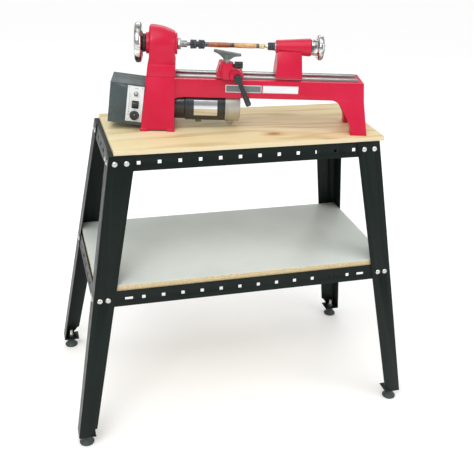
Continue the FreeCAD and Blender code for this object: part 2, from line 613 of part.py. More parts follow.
def pulley(line, radius, bore):
    groove = f"({radius}) - groove_deep"
    return turned("x", line, ring_outline([("pulley_left", radius), ("pulley_left + pulley_flange", radius),
                                           ("pulley_left + pulley_flange", groove),
                                           ("pulley_right - pulley_flange", groove),
                                           ("pulley_right - pulley_flange", radius),
                                           ("pulley_right", radius)], bore))


def belt_loop(grow, ends):
    """The belt's outline as two rounds and their two outside tangents, grown by an amount."""
    big, small = f"(spindle_pulley_radius - groove_deep + {grow})", f"(motor_pulley_radius - groove_deep + {grow})"
    slope = f"(({big}-{small})/(axis_high - motor_high))"
    flat = f"sqrt(1 - {slope}*{slope})"
    return fuse(rod("x", spindle_line, ends, big), rod("x", motor_line, ends, small),
                prism("YZ_Plane", [(f"-{small}*{flat}", f"motor_high - {small}*{slope}"),
                                   (f"{small}*{flat}", f"motor_high - {small}*{slope}"),
                                   (f"{big}*{flat}", f"axis_high - {big}*{slope}"),
                                   (f"-{big}*{flat}", f"axis_high - {big}*{slope}")], ends))


def spindle_line_parts():
    lathe_node("spindle", turned("x", spindle_line, ring_outline(
        [("spindle_left", "spindle_radius - 1"), ("boss_left - free_gap", "spindle_radius - 1"),
         ("boss_left - free_gap", "spindle_radius"), ("flange_left", "spindle_radius"),
         ("flange_left", "nose_flange"),
         ("flange_right", "nose_flange"), ("flange_right", "nose_radius"), ("nose_end", "nose_radius")],
        "spindle_bore")))
    wheel_hub = ("wheel_right", "boss_left - free_gap")
    lathe_node("spindle_handwheel", turned("x", spindle_line, ring_outline(
        [("wheel_left + 3", "hub_radius - 3"), ("wheel_left + 5", "wheel_radius - wheel_rim - 1"),
         ("wheel_left", "wheel_radius - wheel_rim"), ("wheel_left", "wheel_radius - rim_crown",
                                                      "wheel_round"),
         ("wheel_right", "wheel_radius - rim_crown"), ("wheel_right", "wheel_radius - wheel_rim"),
         ("wheel_right - 4", "wheel_radius - wheel_rim - 1"), ("wheel_right - 2", "hub_radius - 3"),
         ("wheel_right", "hub_radius - 3")], "spindle_radius - 1")))
    lathe_node("handwheel_hub", turned("x", spindle_line, ring_outline(
        [(wheel_hub[0], "hub_radius - 2"), (f"{wheel_hub[0]} + 2", "hub_radius"),
         (f"{wheel_hub[1]} - 2", "hub_radius"),
         (wheel_hub[1], "hub_radius - 2")], "spindle_radius - 1")))
    lathe_node("spindle_pulley", pulley(spindle_line, "spindle_pulley_radius", "spindle_radius"))
    rod_end_hole = cone("x", spindle_line, ("rod_end - 4", "rod_end"), ("0", "4*tan(30 deg)"))
    mandrel = turned("x", spindle_line, [
        ("nose_end - taper_long", "0"), ("nose_end - taper_long", "spindle_bore - 1"),
                                         ("nose_end", "spindle_bore"),
        ("nose_end", "neck_radius"), ("collet_start", "neck_radius"), ("collet_start", "rod_radius"),
        ("rod_end", "rod_radius"), ("rod_end", "0")])
    lathe_node("pen_mandrel", cut(mandrel, rod_end_hole))
    nuts = []
    for start in ("collet_start", "collet_two"):
        nuts.append(turned("x", spindle_line, ring_outline(
            [(start, "collet_radius - 1"), (f"{start} + 1", "collet_radius"),
             (f"{start} + collet_wide - 1", "collet_radius"),
             (f"{start} + collet_wide", "collet_radius - 1")],
            "rod_radius")))
    lathe_node("collet_nuts", *nuts)
    spacers = []
    for start, end, radius in (("collet_start + collet_wide", "collet_two", "collet_radius - 4"),
                               ("collets_end", "blank_one", "bush_radius"),
                               ("blank_one_end", "blank_two", "bush_radius"),
                               ("blank_two_end", "rod_nut_start", "bush_radius")):
        spacers.append(turned("x", spindle_line, ring_outline([(start, radius), (end, radius)],
                                                              "rod_radius")))
    lathe_node("mandrel_bushings", *spacers)
    for name, start in (("pen_blank_dark", "blank_one"), ("pen_blank_light", "blank_two")):
        lathe_node(name, turned("x", spindle_line, ring_outline(
            [(start, "bush_radius"), (f"{start} + blank_long*0.25", "blank_radius"),
             (f"{start} + blank_long*0.75", "blank_radius"), (f"{start} + blank_long", "bush_radius")],
                                                                "rod_radius")))
    lathe_node("mandrel_nut", turned("x", spindle_line, ring_outline(
        [("rod_nut_start", "bush_radius"), ("rod_nut_start + 3", "blank_radius"),
         ("rod_end - 1", "blank_radius"),
         ("rod_end", "blank_radius - 1")], "rod_radius")))


# drive

def drive():
    shell = turned("x", motor_line, [
        ("head_face", "motor_bearing"), ("head_face", "motor_nose"), ("motor_step", "motor_nose"),
        ("motor_step", "motor_radius"), ("motor_split", "motor_radius"),
        ("motor_split", "motor_radius - motor_wall"), ("motor_step + 4", "motor_radius - motor_wall"),
        ("motor_step + 4", "motor_nose - motor_wall"), ("head_face + 9", "motor_nose - motor_wall"),
        ("head_face + 9", "motor_bearing")])
    lathe_node("motor_shell", shell)
    lathe_node("motor_end_cap", turned("x", motor_line, [
        ("motor_split", "cap_radius - motor_wall"), ("motor_split", "cap_radius"),
                                                         ("motor_end - 2", "cap_radius"),
        ("motor_end", "cap_radius - 2"), ("motor_end", "0"), ("motor_end - 5", "0"),
                                                         ("motor_end - 5", "motor_bearing"),
        ("motor_end - 5 - motor_bearing_wide", "motor_bearing"),
        ("motor_end - 5 - motor_bearing_wide", "motor_bearing + 3"),
        ("motor_end - 5", "motor_bearing + 6"), ("motor_end - 5", "cap_radius - motor_wall")]))
    lathe_node("motor_rotor", turned("x", motor_line, [
        ("pulley_left", "0"), ("pulley_left", "shaft_radius"), ("motor_step + 8", "shaft_radius"),
        ("motor_step + 8", "rotor_radius"), ("motor_split - 14", "rotor_radius"),
        ("motor_split - 14", "shaft_radius"), ("motor_end - 6", "shaft_radius"), ("motor_end - 6", "0")]))
    lathe_node("motor_pulley", pulley(motor_line, "motor_pulley_radius", "shaft_radius"))
    outer_ends = ("pulley_left + pulley_flange + free_gap", "pulley_right - pulley_flange - free_gap")
    inner_ends = ("pulley_left", "pulley_right")
    lathe_node("drive_belt", cut(belt_loop("free_gap*0.3 + belt_thick", outer_ends),
                                 belt_loop("free_gap*0.3", inner_ends)))
    rim = cut(rod("x", motor_line, ("plate_left", "plate_right"), "motor_radius + plate_thick"),
              rod("x", motor_line, ("plate_left - 1", "plate_right + 1"), "motor_radius"))
    lathe_node("motor_plate", common(rim, box(("plate_left - 2", "plate_right + 2"),
                                            (-far, "-motor_radius/2"), ("plate_low", "plate_high"))))
    caps = []
    for high, end in (("motor_high - motor_radius - 5", "motor_high - motor_radius + 2"),
                      ("motor_high + motor_radius - 2", "motor_high + motor_radius + 3")):
        caps.append(cut(rod("z", ("brush_x", "0"), (high, end), "brush_radius"),
                        rod("x", motor_line, ("brush_x - 15", "brush_x + 15"), "motor_radius")))
    lathe_node("brush_caps", *caps)
    gland = fuse(rod("z", ("gland_x", "0"), ("gland_low", "gland_low + gland_high"), "gland_radius"),
                 box(("gland_x - 11", "gland_x + 9"), ("-7", "7"),
                     ("gland_low + 4", "gland_low + gland_high")))
    lathe_node("motor_cable_gland", cut(gland, rod("x", motor_line, ("-40", "20"), "cap_radius"),
                                        rod("z", ("gland_x", "0"), ("gland_low - 1", "gland_low + 6"), "3")))


# tailstock

clamp_across = ("-bed_half + bed_wall + 4", "bed_half - bed_wall - 4")


def tailstock():
    front = prism("XZ_Plane", [("tail_left", "slab_low"), ("tail_right", "slab_low"),
                               ("tail_right - tail_in", "axis_high - tail_under_axis"),
                               ("tail_left + tail_in", "axis_high - tail_under_axis")], (-far, far))
    side = prism("YZ_Plane", [("-tail_half_low", "slab_low"), ("tail_half_low", "slab_low"),
                              ("tail_half_low", "slab_low + tail_foot"), ("tail_half_top", "axis_high"),
                              ("-tail_half_top", "axis_high"), ("-tail_half_low", "slab_low + tail_foot")],
                 (0, far))
    barrel = turned("x", spindle_line, [("barrel_start", "0"), ("barrel_start", "tail_small - 1"),
                                        ("barrel_start + 1", "tail_small"), ("barrel_end - 1", "tail_big"),
                                        ("barrel_end", "tail_big - 1"), ("barrel_end", "0")])
    quill_way = rod("x", spindle_line, ("barrel_start - 1", "barrel_bore_end"), "quill_radius + run_gap")
    screw_way = rod("x", spindle_line, ("barrel_bore_end - 1", "barrel_end + 1"), "screw_radius + run_gap")
    stud_x = "(tail_left + tail_right)/2"
    stud_way = rod("z", (stud_x, "0"), ("slab_low - 1", "tail_pin"), "clamp_stud + free_gap")
    nut_room = box((f"{stud_x} - 15", f"{stud_x} + 15"), ("-15", "15"), ("tail_pin - 10", "tail_pin + 10"))
    lever_way = rod("y", (stud_x, "tail_pin"), ("10", far), "tail_lever_pin + run_gap")
    lathe_node("tailstock_casting", cut(fuse(common(front, side), barrel), quill_way, screw_way, stud_way,
                                        nut_room,
                                        lever_way))
    stud = fuse(rod("z", (stud_x, "0"), ("clamp_low", "tail_pin - 7"), "clamp_stud"),
                box((f"{stud_x} - clamp_half", f"{stud_x} + clamp_half"), clamp_across,
                    ("clamp_low", "clamp_top")))
    lathe_node("tailstock_clamp", stud)
    pin = (stud_x, "tail_pin")
    arm = held([cone("z", ("0", "0"), ("6", "tail_lever_long"), ("4.5", "6.5"))], x=stud_x,
               y="tail_half_low + 10",
               z="tail_pin", axis=axis_y, angle="tail_lever_angle")
    lathe_node("tailstock_lever", fuse(rod("y", pin, ("16", "tail_half_low + 1"), "tail_lever_pin"), arm,
                                       rod("y", pin, ("tail_half_low + free_gap", "tail_half_low + 16"),
                                           "tail_lever_hub")))
    lathe_node("quill", turned("x", spindle_line, [
        ("centre_body_end", "quill_bore"), ("centre_body_end", "quill_radius - 1"),
        ("centre_body_end + 1", "quill_radius"), ("quill_end", "quill_radius"),
        ("quill_end", "screw_radius + free_gap"), ("screw_start - 3", "screw_radius + free_gap"),
        ("screw_start - 3", "quill_bore")]))
    tip_cone = "tan(30 deg)"
    lathe_node("live_centre_point", turned("x", spindle_line, [
        ("centre_tip", "0"), ("centre_cone_end - free_gap", f"(centre_cone_end - free_gap - centre_tip)*{tip_cone}"),
        ("centre_cone_end - free_gap", "centre_pin"), ("centre_body_end - 5", "centre_pin"),
        ("centre_body_end - 5", "0")]))
    lathe_node("live_centre_body", turned("x", spindle_line, [
        ("centre_cone_end", "centre_pin + run_gap"), ("centre_cone_end", "centre_body_radius - 2"),
        ("centre_cone_end + 2", "centre_body_radius"), ("centre_body_end - 1", "centre_body_radius"),
        ("centre_body_end", "centre_body_radius - 1"), ("centre_body_end", "quill_bore"),
        ("centre_shank", "quill_bore"), ("centre_shank", "0"), ("centre_body_end - 4", "0"),
        ("centre_body_end - 4", "centre_pin + run_gap")]))
    lathe_node("tailstock_screw", rod("x", spindle_line, ("screw_start", "barrel_end + free_gap"),
                                      "screw_radius"))
    rim_right = "tail_rim_left + tail_rim_wide"
    lathe_node("tailstock_handwheel", turned("x", spindle_line, [
        ("barrel_end + free_gap", "0"), ("barrel_end + free_gap", "tail_hub"),
                                                                 ("tail_rim_left + 3", "tail_hub"),
        ("tail_rim_left + 4", "tail_wheel_radius - tail_rim_deep - 1"),
        ("tail_rim_left", "tail_wheel_radius - tail_rim_deep"),
        ("tail_rim_left", "tail_wheel_radius - tail_rim_crown", "tail_wheel_round"),
        (rim_right, "tail_wheel_radius - tail_rim_crown"),
        (rim_right, "tail_wheel_radius - tail_rim_deep"),
        (f"{rim_right} - 3", "tail_wheel_radius - tail_rim_deep - 1"), (f"{rim_right} - 2", "tail_knob"),
        ("tail_knob_end - 4", "tail_knob - 1"), ("tail_knob_end", "tail_knob - 4"), ("tail_knob_end", "0")]))


# banjo and tool rest

def banjo():
    post = ("post_x", "post_y")
    slab = box(("slab_left", "slab_right"), ("-slab_front", "slab_back"), ("slab_low", "slab_top"))
    boss = rod("z", post, ("slab_low", "boss_top"), "post_radius + boss_wall")
    rib = prism("XZ_Plane", [("post_x", "slab_low"), ("slab_right", "slab_low"), ("slab_right", "slab_top"),
                             ("knob_left + 4", "rib_step"), ("knob_left - 2", "rib_step"),
                             ("knob_left - 4", "rib_top"),
                             ("post_x", "rib_top")], ("-slab_front", "-slab_front + 22"))
    flank = prism("XZ_Plane", [("post_x", "slab_low"), ("slab_left - flank_out", "slab_low"),
                               ("slab_left - flank_out", "slab_low + 3"), ("slab_left - 3", "rib_top"),
                               ("post_x", "rib_top")], ("-flank_front", "flank_back"))
    ring_axis = ("cam_x - cam_ring_left", "cam_high")
    ring = rod("y", ring_axis, ("-cam_front", "-cam_ring_back"), "cam_ring")
    ring_step = rod("y", ring_axis, ("-cam_front - cam_lip", "-cam_front"), "cam_ring - cam_ring_step")
    below = box((-far, far), (-far, far), ("slab_low - cam_ring", "slab_low"))
    post_way = rod("z", post, ("slab_low - 1", "boss_top + 1"), "post_radius + run_gap")
    slide = ("-stud_head - 1", "stud_head + cross_travel + 1")
    stud_slot = box(("cam_x - clamp_stud - free_gap", "cam_x + clamp_stud + free_gap"), slide,
                    ("slab_low - 1", "slab_top + 1"))
    head_slot = box(("cam_x - stud_head - free_gap", "cam_x + stud_head + free_gap"), slide,
                    ("slab_top - stud_head_high - 2*free_gap", "slab_top + 1"))
    cam_way = rod("y", ("cam_x", "cam_high"), ("-cam_front - cam_lip - 1", "-cam_ring_back - 3"),
                  "cam_pin + run_gap")
    lock_way = rod("x", ("post_y", "lock_high"), ("post_x + post_radius - 1", "knob_left + lock_knob_long"),
                   "lock_stem + run_gap")
    lathe_node("banjo", cut(fuse(slab, boss, rib, flank, ring, ring_step), below, post_way, stud_slot,
                            head_slot,
                            cam_way, lock_way))
    lathe_node("banjo_clamp", fuse(
        rod("z", ("cam_x", "0"), ("clamp_low", "slab_top - free_gap"), "clamp_stud"),
        rod("z", ("cam_x", "0"), ("slab_top - stud_head_high - free_gap", "slab_top - free_gap"),
            "stud_head"),
        box(("cam_x - clamp_half + 2", "cam_x + clamp_half - 2"), clamp_across, ("clamp_low", "clamp_top"))))
    front = "-cam_front - cam_lip - free_gap"
    arm = held([cone("z", ("0", "0"), ("6", "cam_lever_long"), ("cam_lever_root", "cam_lever_tip"))],
               x="cam_x",
               y=f"{front} - 8", z="cam_high", axis=axis_y, angle="180 - cam_lever_tilt")
    lathe_node("cam_lever", fuse(rod("y", ("cam_x", "cam_high"), (f"{front} - 16", front), "cam_hub"),
                                 rod("y", ("cam_x", "cam_high"), (f"{front} - 1", "-cam_ring_back - 3.5"),
                                     "cam_pin"),
                                 arm))
    lathe_node("rest_post", rod("z", post, ("slab_low + 8", "rest_low + post_in"), "post_radius"))
    blade = prism("XZ_Plane", [("-rest_long/2", "rest_top - rest_edge", "rest_curve"),
                               ("-rest_neck", "rest_low"),
                               ("rest_neck", "rest_low", "rest_curve"),
                               ("rest_long/2", "rest_top - rest_edge"),
                               ("rest_long/2", "rest_top"), ("-rest_long/2", "rest_top")],
                  ("-rest_thick/2", "rest_thick/2"))
    socket = rod("z", ("0", "0"), ("rest_low", "rest_low + rest_socket"), "post_radius + 3")
    rest = cut(fuse(blade, socket), rod("z", ("0", "0"), ("rest_low - 1", "rest_low + post_in + free_gap"),
                                        "post_radius + free_gap"))
    lathe_node("tool_rest", held([rest], x="post_x", y="post_y", angle="rest_turn"))
    lobes = []
    for number in range(5):
        turn = 72 * number
        lobe = (f"post_y + cos({turn} deg)*(lock_knob - lock_lobe)",
                f"lock_high + sin({turn} deg)*(lock_knob - lock_lobe)")
        lobes.append(rod("x", lobe, ("knob_left", "knob_left + lock_knob_long"), "lock_lobe"))
    lathe_node("rest_lock_knob", fuse(
        rod("x", ("post_y", "lock_high"), ("post_x + post_radius + free_gap + 0.5", "knob_left + 1"),
            "lock_stem"),
        rod("x", ("post_y", "lock_high"), ("knob_left", "knob_left + lock_knob_long"), "lock_knob - 2"),
                                      *lobes))


# control box

def boxed(*solids):
    """Solids drawn against an upright pedestal side, leaned over with the real one."""
    return held(solids, x="head_left_low", axis=axis_y, angle="atan(head_lean) / 1 deg")


def switch_holes(y):
    """Holes for the knob's stem, the toggle's collar and the rocker, between two depths."""
    half, tall = "rocker_half + free_gap", "rocker_tall + free_gap"
    return [rod("y", ("-panel_mid", "knob_high"), y, "knob_stem + free_gap"),
            rod("y", ("-panel_mid", "toggle_high"), y, "toggle_collar"),
            box((f"-panel_mid - ({half})", f"-panel_mid + {half}"), y,
                (f"rocker_high - ({tall})", f"rocker_high + {tall}"))]


def control_box():
    shell = cut(box(("-box_wide", "0"), ("-box_front", "box_back"), ("box_low", "box_top")),
                box(("-box_wide + box_wall", "-box_wall"), ("-box_front + box_wall", "box_back + 1"),
                    ("box_low + box_wall", "box_top - box_wall")),
                *switch_holes(("-box_front - 1", "-box_front + box_wall + 1")))
    lathe_node("control_box", boxed(shell))
    lathe_node("control_box_back", boxed(fuse(
        box(("-box_wide", "0"), ("box_back", "box_back + 2"), ("box_low", "box_top")),
        box(("-box_wide + box_wall + 1", "-box_wall - 1"), ("box_back - 4", "box_back + 1"),
            ("box_low + box_wall + 1", "box_top - box_wall - 1")))))
    panel = cut(box(("-panel_wide - 1", "-1"), ("panel_face", "-box_front"), ("panel_low", "panel_top")),
                *switch_holes(("panel_face - 1", "-box_front + 1")))
    lathe_node("control_panel", boxed(panel))
    lathe_node("speed_knob", boxed(fuse(
        rod("y", ("-panel_mid", "knob_high"), ("panel_face - knob_long", "panel_face - free_gap"),
            "knob_radius"),
        rod("y", ("-panel_mid", "knob_high"), ("panel_face - 3", "-box_front + 8"), "knob_stem"))))
    rocker = common(box(("-panel_mid - rocker_half", "-panel_mid + rocker_half"),
                        ("panel_face - rocker_out", "-box_front + 9"),
                        ("rocker_high - rocker_tall + 0.6", "rocker_high + rocker_tall - 0.6")),
                    rod("x", ("pivot_y", "rocker_high"), (-far, 0), "rocker_tall - 0.7"))
    lathe_node("power_rocker", boxed(rocker))
    collar = cut(rod("y", ("-panel_mid", "toggle_high"), ("panel_face - 3", "-box_front + 8"),
                     "toggle_collar"),
                 rod("y", ("-panel_mid", "toggle_high"), ("panel_face - 4", "-box_front + 7"),
                     "toggle_collar - 1.3"))
    lathe_node("toggle_collar", boxed(collar))
    stick = fuse(cone("z", ("0", "0"), ("0", "toggle_long"), ("1.6", "2.8")),
                 rod("x", ("0", "0"), ("-toggle_collar + 2", "toggle_collar - 2"), "1.6"))
    lathe_node("direction_toggle", boxed(held([stick], x="-panel_mid", y="pivot_y", z="toggle_high",
                                              axis=Vector(1, 0, 0), angle="90 - toggle_tilt")))


# the whole

stand()
bed()
headstock()
bearings()
spindle_line_parts()
drive()
tailstock()
banjo()
control_box()
doc.recompute()

for thing in doc.Objects:
    bad = [word for word in thing.State if word in ("Invalid", "Error")]
    if bad:
        raise RuntimeError(f"{thing.Name} ({thing.Label}) is {bad}")
names = [solid.Label for solid in nodes]
if len(set(names)) != len(names) or len(names) > 60:
    raise RuntimeError(f"{len(names)} sub-parts, {len(set(names))} names")
os.makedirs("parts", exist_ok=True)
for solid in nodes:
    if solid.Shape.isNull() or not solid.Shape.isValid() or not solid.Shape.Solids:
        raise RuntimeError(f"{solid.Label} has no valid solid")
for solid in nodes:
    solid.Shape.exportStep(f"parts/{solid.Label}.step")
print(f"{len(names)} sub-parts written")
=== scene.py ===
import json
import math

import bmesh
import bpy
from mathutils import Matrix, Vector


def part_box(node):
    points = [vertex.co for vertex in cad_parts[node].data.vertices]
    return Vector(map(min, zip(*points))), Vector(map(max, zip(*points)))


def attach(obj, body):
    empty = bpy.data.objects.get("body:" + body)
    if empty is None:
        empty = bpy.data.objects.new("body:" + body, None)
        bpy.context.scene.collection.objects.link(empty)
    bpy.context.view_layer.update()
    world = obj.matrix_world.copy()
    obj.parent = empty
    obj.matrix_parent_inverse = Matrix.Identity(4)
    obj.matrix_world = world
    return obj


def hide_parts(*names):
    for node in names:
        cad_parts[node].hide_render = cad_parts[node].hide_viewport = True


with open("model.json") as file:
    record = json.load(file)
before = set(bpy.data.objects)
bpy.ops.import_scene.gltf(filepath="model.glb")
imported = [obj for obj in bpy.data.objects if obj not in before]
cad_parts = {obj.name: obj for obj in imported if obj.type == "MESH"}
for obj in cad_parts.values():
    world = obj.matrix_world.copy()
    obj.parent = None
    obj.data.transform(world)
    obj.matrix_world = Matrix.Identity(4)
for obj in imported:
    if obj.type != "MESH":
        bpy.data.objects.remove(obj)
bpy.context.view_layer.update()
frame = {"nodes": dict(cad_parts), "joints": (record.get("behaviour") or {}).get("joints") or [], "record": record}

mm = 0.001
joints = {joint["name"]: joint for joint in frame["joints"]}
slotOf = {row["node"]: row["material_slot"] for row in frame["record"]["subparts"]}
bodyOf = {node: body for body, members in frame["record"]["behaviour"]["bodies"].items() for node in members}

# the lathe's own frame: X along the spindle, Z up from the bench top
spindleWay = Vector(joints["spindle_spin"]["axis"]).normalized()
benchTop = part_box("bench_top")[1].z
latheTurn = math.atan2(spindleWay.y, spindleWay.x)
lathe = Matrix.Translation((0, 0, benchTop)) @ Matrix.Rotation(latheTurn, 4, "Z")
spindleHigh = joints["spindle_spin"]["pos_m"][2] - benchTop
spindleLine = lathe @ Matrix.Translation((0, 0, spindleHigh))
motorHigh = joints["rotor_spin"]["pos_m"][2] - benchTop
motorLine = lathe @ Matrix.Translation((0, 0, motorHigh))
toX = Matrix.Rotation(math.pi / 2, 4, "Y")   # turns a shape made along +Z to lie along +X


def span(node, place=lathe):
    back = place.inverted()
    points = [back @ vertex.co for vertex in frame["nodes"][node].data.vertices]
    low = Vector([min(point[i] for point in points) for i in range(3)])
    high = Vector([max(point[i] for point in points) for i in range(3)])
    return low, high


def tree(name):
    material = bpy.data.materials.new(name)
    material.use_nodes = True
    nodes, links = material.node_tree.nodes, material.node_tree.links
    return material, nodes, links, nodes["Principled BSDF"]


def coords(nodes, links, stretch=(1, 1, 1), turn=0.0, centre=(0, 0, 0)):
    source = nodes.new("ShaderNodeTexCoord")
    mapping = nodes.new("ShaderNodeMapping")
    mapping.vector_type = "TEXTURE"
    mapping.inputs["Location"].default_value = centre
    mapping.inputs["Rotation"].default_value = (0, 0, turn)
    mapping.inputs["Scale"].default_value = [1 / value for value in stretch]
    links.new(source.outputs["Object"], mapping.inputs["Vector"])
    return mapping.outputs["Vector"]


def cloud(nodes, links, where, scale, detail=4.0, rough=0.55, distortion=0.0):
    noise = nodes.new("ShaderNodeTexNoise")
    noise.inputs["Scale"].default_value = scale
    noise.inputs["Detail"].default_value = detail
    noise.inputs["Roughness"].default_value = rough
    noise.inputs["Distortion"].default_value = distortion
    links.new(where, noise.inputs["Vector"])
    return noise.outputs["Fac"]


def ramp(nodes, links, source, stops, smooth=False):
    band = nodes.new("ShaderNodeValToRGB")
    band.color_ramp.interpolation = "EASE" if smooth else "LINEAR"
    points = band.color_ramp.elements
    while len(points) < len(stops):
        points.new(0.5)
    for point, (place, colour) in zip(points, stops):
        point.position = place
        point.color = (*colour, 1)
    links.new(source, band.inputs["Fac"])
    return band.outputs["Color"]


def spread(nodes, links, source, low, high, fromLow=0.3, fromHigh=0.7):
    reach = nodes.new("ShaderNodeMapRange")
    for name, value in (("From Min", fromLow), ("From Max", fromHigh), ("To Min", low), ("To Max", high)):
        reach.inputs[name].default_value = value
    links.new(source, reach.inputs["Value"])
    return reach.outputs["Result"]


def blendColour(nodes, links, amount, first, second):
    mix = nodes.new("ShaderNodeMix")
    mix.data_type = "RGBA"
    for socket, value in ((mix.inputs["Factor"], amount), (mix.inputs["A"], first),
                          (mix.inputs["B"], second)):
        if isinstance(value, (int, float)):
            socket.default_value = value
        elif isinstance(value, tuple):
            socket.default_value = (*value, 1)
        else:
            links.new(value, socket)
    return mix.outputs["Result"]


def combine(nodes, links, first, second, operation="MULTIPLY"):
    calc = nodes.new("ShaderNodeMath")
    calc.operation = operation
    for socket, value in zip(calc.inputs, (first, second)):
        if isinstance(value, (int, float)):
            socket.default_value = value
        else:
            links.new(value, socket)
    return calc.outputs["Value"]


def bumped(nodes, links, shader, height, strength, distance):
    bump = nodes.new("ShaderNodeBump")
    bump.inputs["Strength"].default_value = strength
    bump.inputs["Distance"].default_value = distance
    links.new(height, bump.inputs["Height"])
    links.new(bump.outputs["Normal"], shader.inputs["Normal"])


def edgeWear(nodes, links):
    geometry = nodes.new("ShaderNodeNewGeometry")
    return spread(nodes, links, geometry.outputs["Pointiness"], 0.0, 1.0, 0.53, 0.60)


def coated(name, look):
    material, nodes, links, shader = tree(name)
    where = coords(nodes, links, look.get("stretch", (1, 1, 1)), latheTurn)
    patches = cloud(nodes, links, where, look.get("patchScale", 14.0), 5.0)
    colour = ramp(nodes, links, patches, [(0.3, look["colour"]), (0.7, look["shade"])])
    if "worn" in look:
        dents = spread(nodes, links, cloud(nodes, links, where, 90.0, 3.0), 0.0, look["wear"])
        wear = combine(nodes, links, edgeWear(nodes, links), dents)
        colour = blendColour(nodes, links, wear, colour, look["worn"])
    links.new(colour, shader.inputs["Base Color"])
    dull = cloud(nodes, links, where, 40.0, 3.0)
    links.new(spread(nodes, links, dull, *look["rough"]), shader.inputs["Roughness"])
    shader.inputs["Metallic"].default_value = look.get("metal", 0.0)
    shader.inputs["Coat Weight"].default_value = look.get("coat", 0.0)
    shader.inputs["Coat Roughness"].default_value = 0.15
    shader.inputs["Specular IOR Level"].default_value = look.get("specular", 0.5)
    grain = cloud(nodes, links, where, look.get("grainScale", 600.0), 2.0)
    bumped(nodes, links, shader, grain, look.get("bump", 0.15), look.get("bumpDeep", 0.0003))
    return material


def turnedMetal(name, look):
    material, nodes, links, shader = tree(name)
    rings = coords(nodes, links, (900.0, 6.0, 6.0), latheTurn)
    lines = cloud(nodes, links, rings, 1.0, 3.0)
    # smudge patches: on chrome they are painted dark reflections, on the other metals they are tone that varies at
    # random
    smudgeAndReflection = cloud(nodes, links, coords(nodes, links), look.get("smudgeAndReflectionScale", 35.0), 4.0)
    low, high = look.get("smudgeAndReflectionBand", (0.3, 0.75))
    colour = ramp(nodes, links, smudgeAndReflection, [(low, look["colour"]), (high, look["shade"])])
    links.new(colour, shader.inputs["Base Color"])
    rough = combine(nodes, links, spread(nodes, links, smudgeAndReflection, *look["rough"]),
                    spread(nodes, links, lines, 0.0, look.get("ringRough", 0.08)), "ADD")
    links.new(rough, shader.inputs["Roughness"])
    shader.inputs["Metallic"].default_value = look.get("metal", 1.0)
    bumped(nodes, links, shader, lines, look.get("bump", 0.12), 0.0002)
    return material


def pineBoard(name, look):
    material, nodes, links, shader = tree(name)
    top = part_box("bench_top")[1].z
    knot = coords(nodes, links, (1 / look["knotLong"], 1 / look["knotWide"], 1.0), 0.0,
                  (look["knot"][0], look["knot"][1], top))
    distance = nodes.new("ShaderNodeVectorMath")
    distance.operation = "LENGTH"
    links.new(knot, distance.inputs[0])
    near = distance.outputs["Value"]
    halo = spread(nodes, links, near, 1.0, 0.0, 0.0, 5.0)
    source = nodes.new("ShaderNodeTexCoord")
    parts = nodes.new("ShaderNodeSeparateXYZ")
    links.new(source.outputs["Object"], parts.inputs["Vector"])
    # grain lines are levels of the board's depth, bent by slow noise and pushed aside by the knot
    slow = cloud(nodes, links, coords(nodes, links, (1.1, 5.0, 1.0)), 1.6, 2.0)
    bend = combine(nodes, links, spread(nodes, links, slow, -0.055, 0.055, 0.25, 0.75),
                   combine(nodes, links, combine(nodes, links, halo, halo), look["knotPush"]), "ADD")
    depth = combine(nodes, links, parts.outputs["Y"], bend, "ADD")
    level = combine(nodes, links, depth, look["ringCount"])
    join = nodes.new("ShaderNodeCombineXYZ")
    links.new(level, join.inputs["Y"])
    links.new(combine(nodes, links, parts.outputs["X"], 1.4), join.inputs["X"])
    broad = cloud(nodes, links, join.outputs["Vector"], 1.0, 1.0, 0.4)
    fine = cloud(nodes, links, coords(nodes, links, (9.0, 420.0, 420.0)), 1.0, 3.0)
    colour = ramp(nodes, links, broad, [(0.30, look["pale"]), (0.50, look["middle"]), (0.62, look["dark"]),
                                        (0.70, look["middle"])], True)
    colour = blendColour(nodes, links, spread(nodes, links, fine, 0.0, 0.22), colour, look["dark"])
    patch = cloud(nodes, links, coords(nodes, links), 5.0, 3.0)
    colour = blendColour(nodes, links, spread(nodes, links, patch, 0.0, 0.45), colour, look["pale"])
    colour = blendColour(nodes, links, spread(nodes, links, near, 0.55, 0.0, 0.8, 2.2), colour,
                         look["knotHalo"])
    colour = blendColour(nodes, links, spread(nodes, links, near, 0.9, 0.0, 0.35, 1.05), colour,
                         look["knotColour"])
    # plies show on the edges, below the face
    ply = nodes.new("ShaderNodeTexWave")
    ply.bands_direction = "Z"
    ply.inputs["Scale"].default_value = look["plyScale"]
    ply.inputs["Distortion"].default_value = 0.6
    links.new(source.outputs["Object"], ply.inputs["Vector"])
    below = spread(nodes, links, parts.outputs["Z"], 1.0, 0.0, top - 1.0 * mm, top - 0.6 * mm)
    edge = ramp(nodes, links, ply.outputs["Fac"], [(0.35, look["edgePale"]), (0.7, look["edgeDark"])])
    links.new(blendColour(nodes, links, below, colour, edge), shader.inputs["Base Color"])
    links.new(spread(nodes, links, patch, 0.42, 0.6), shader.inputs["Roughness"])
    bumped(nodes, links, shader, fine, 0.2, 0.0003)
    return material


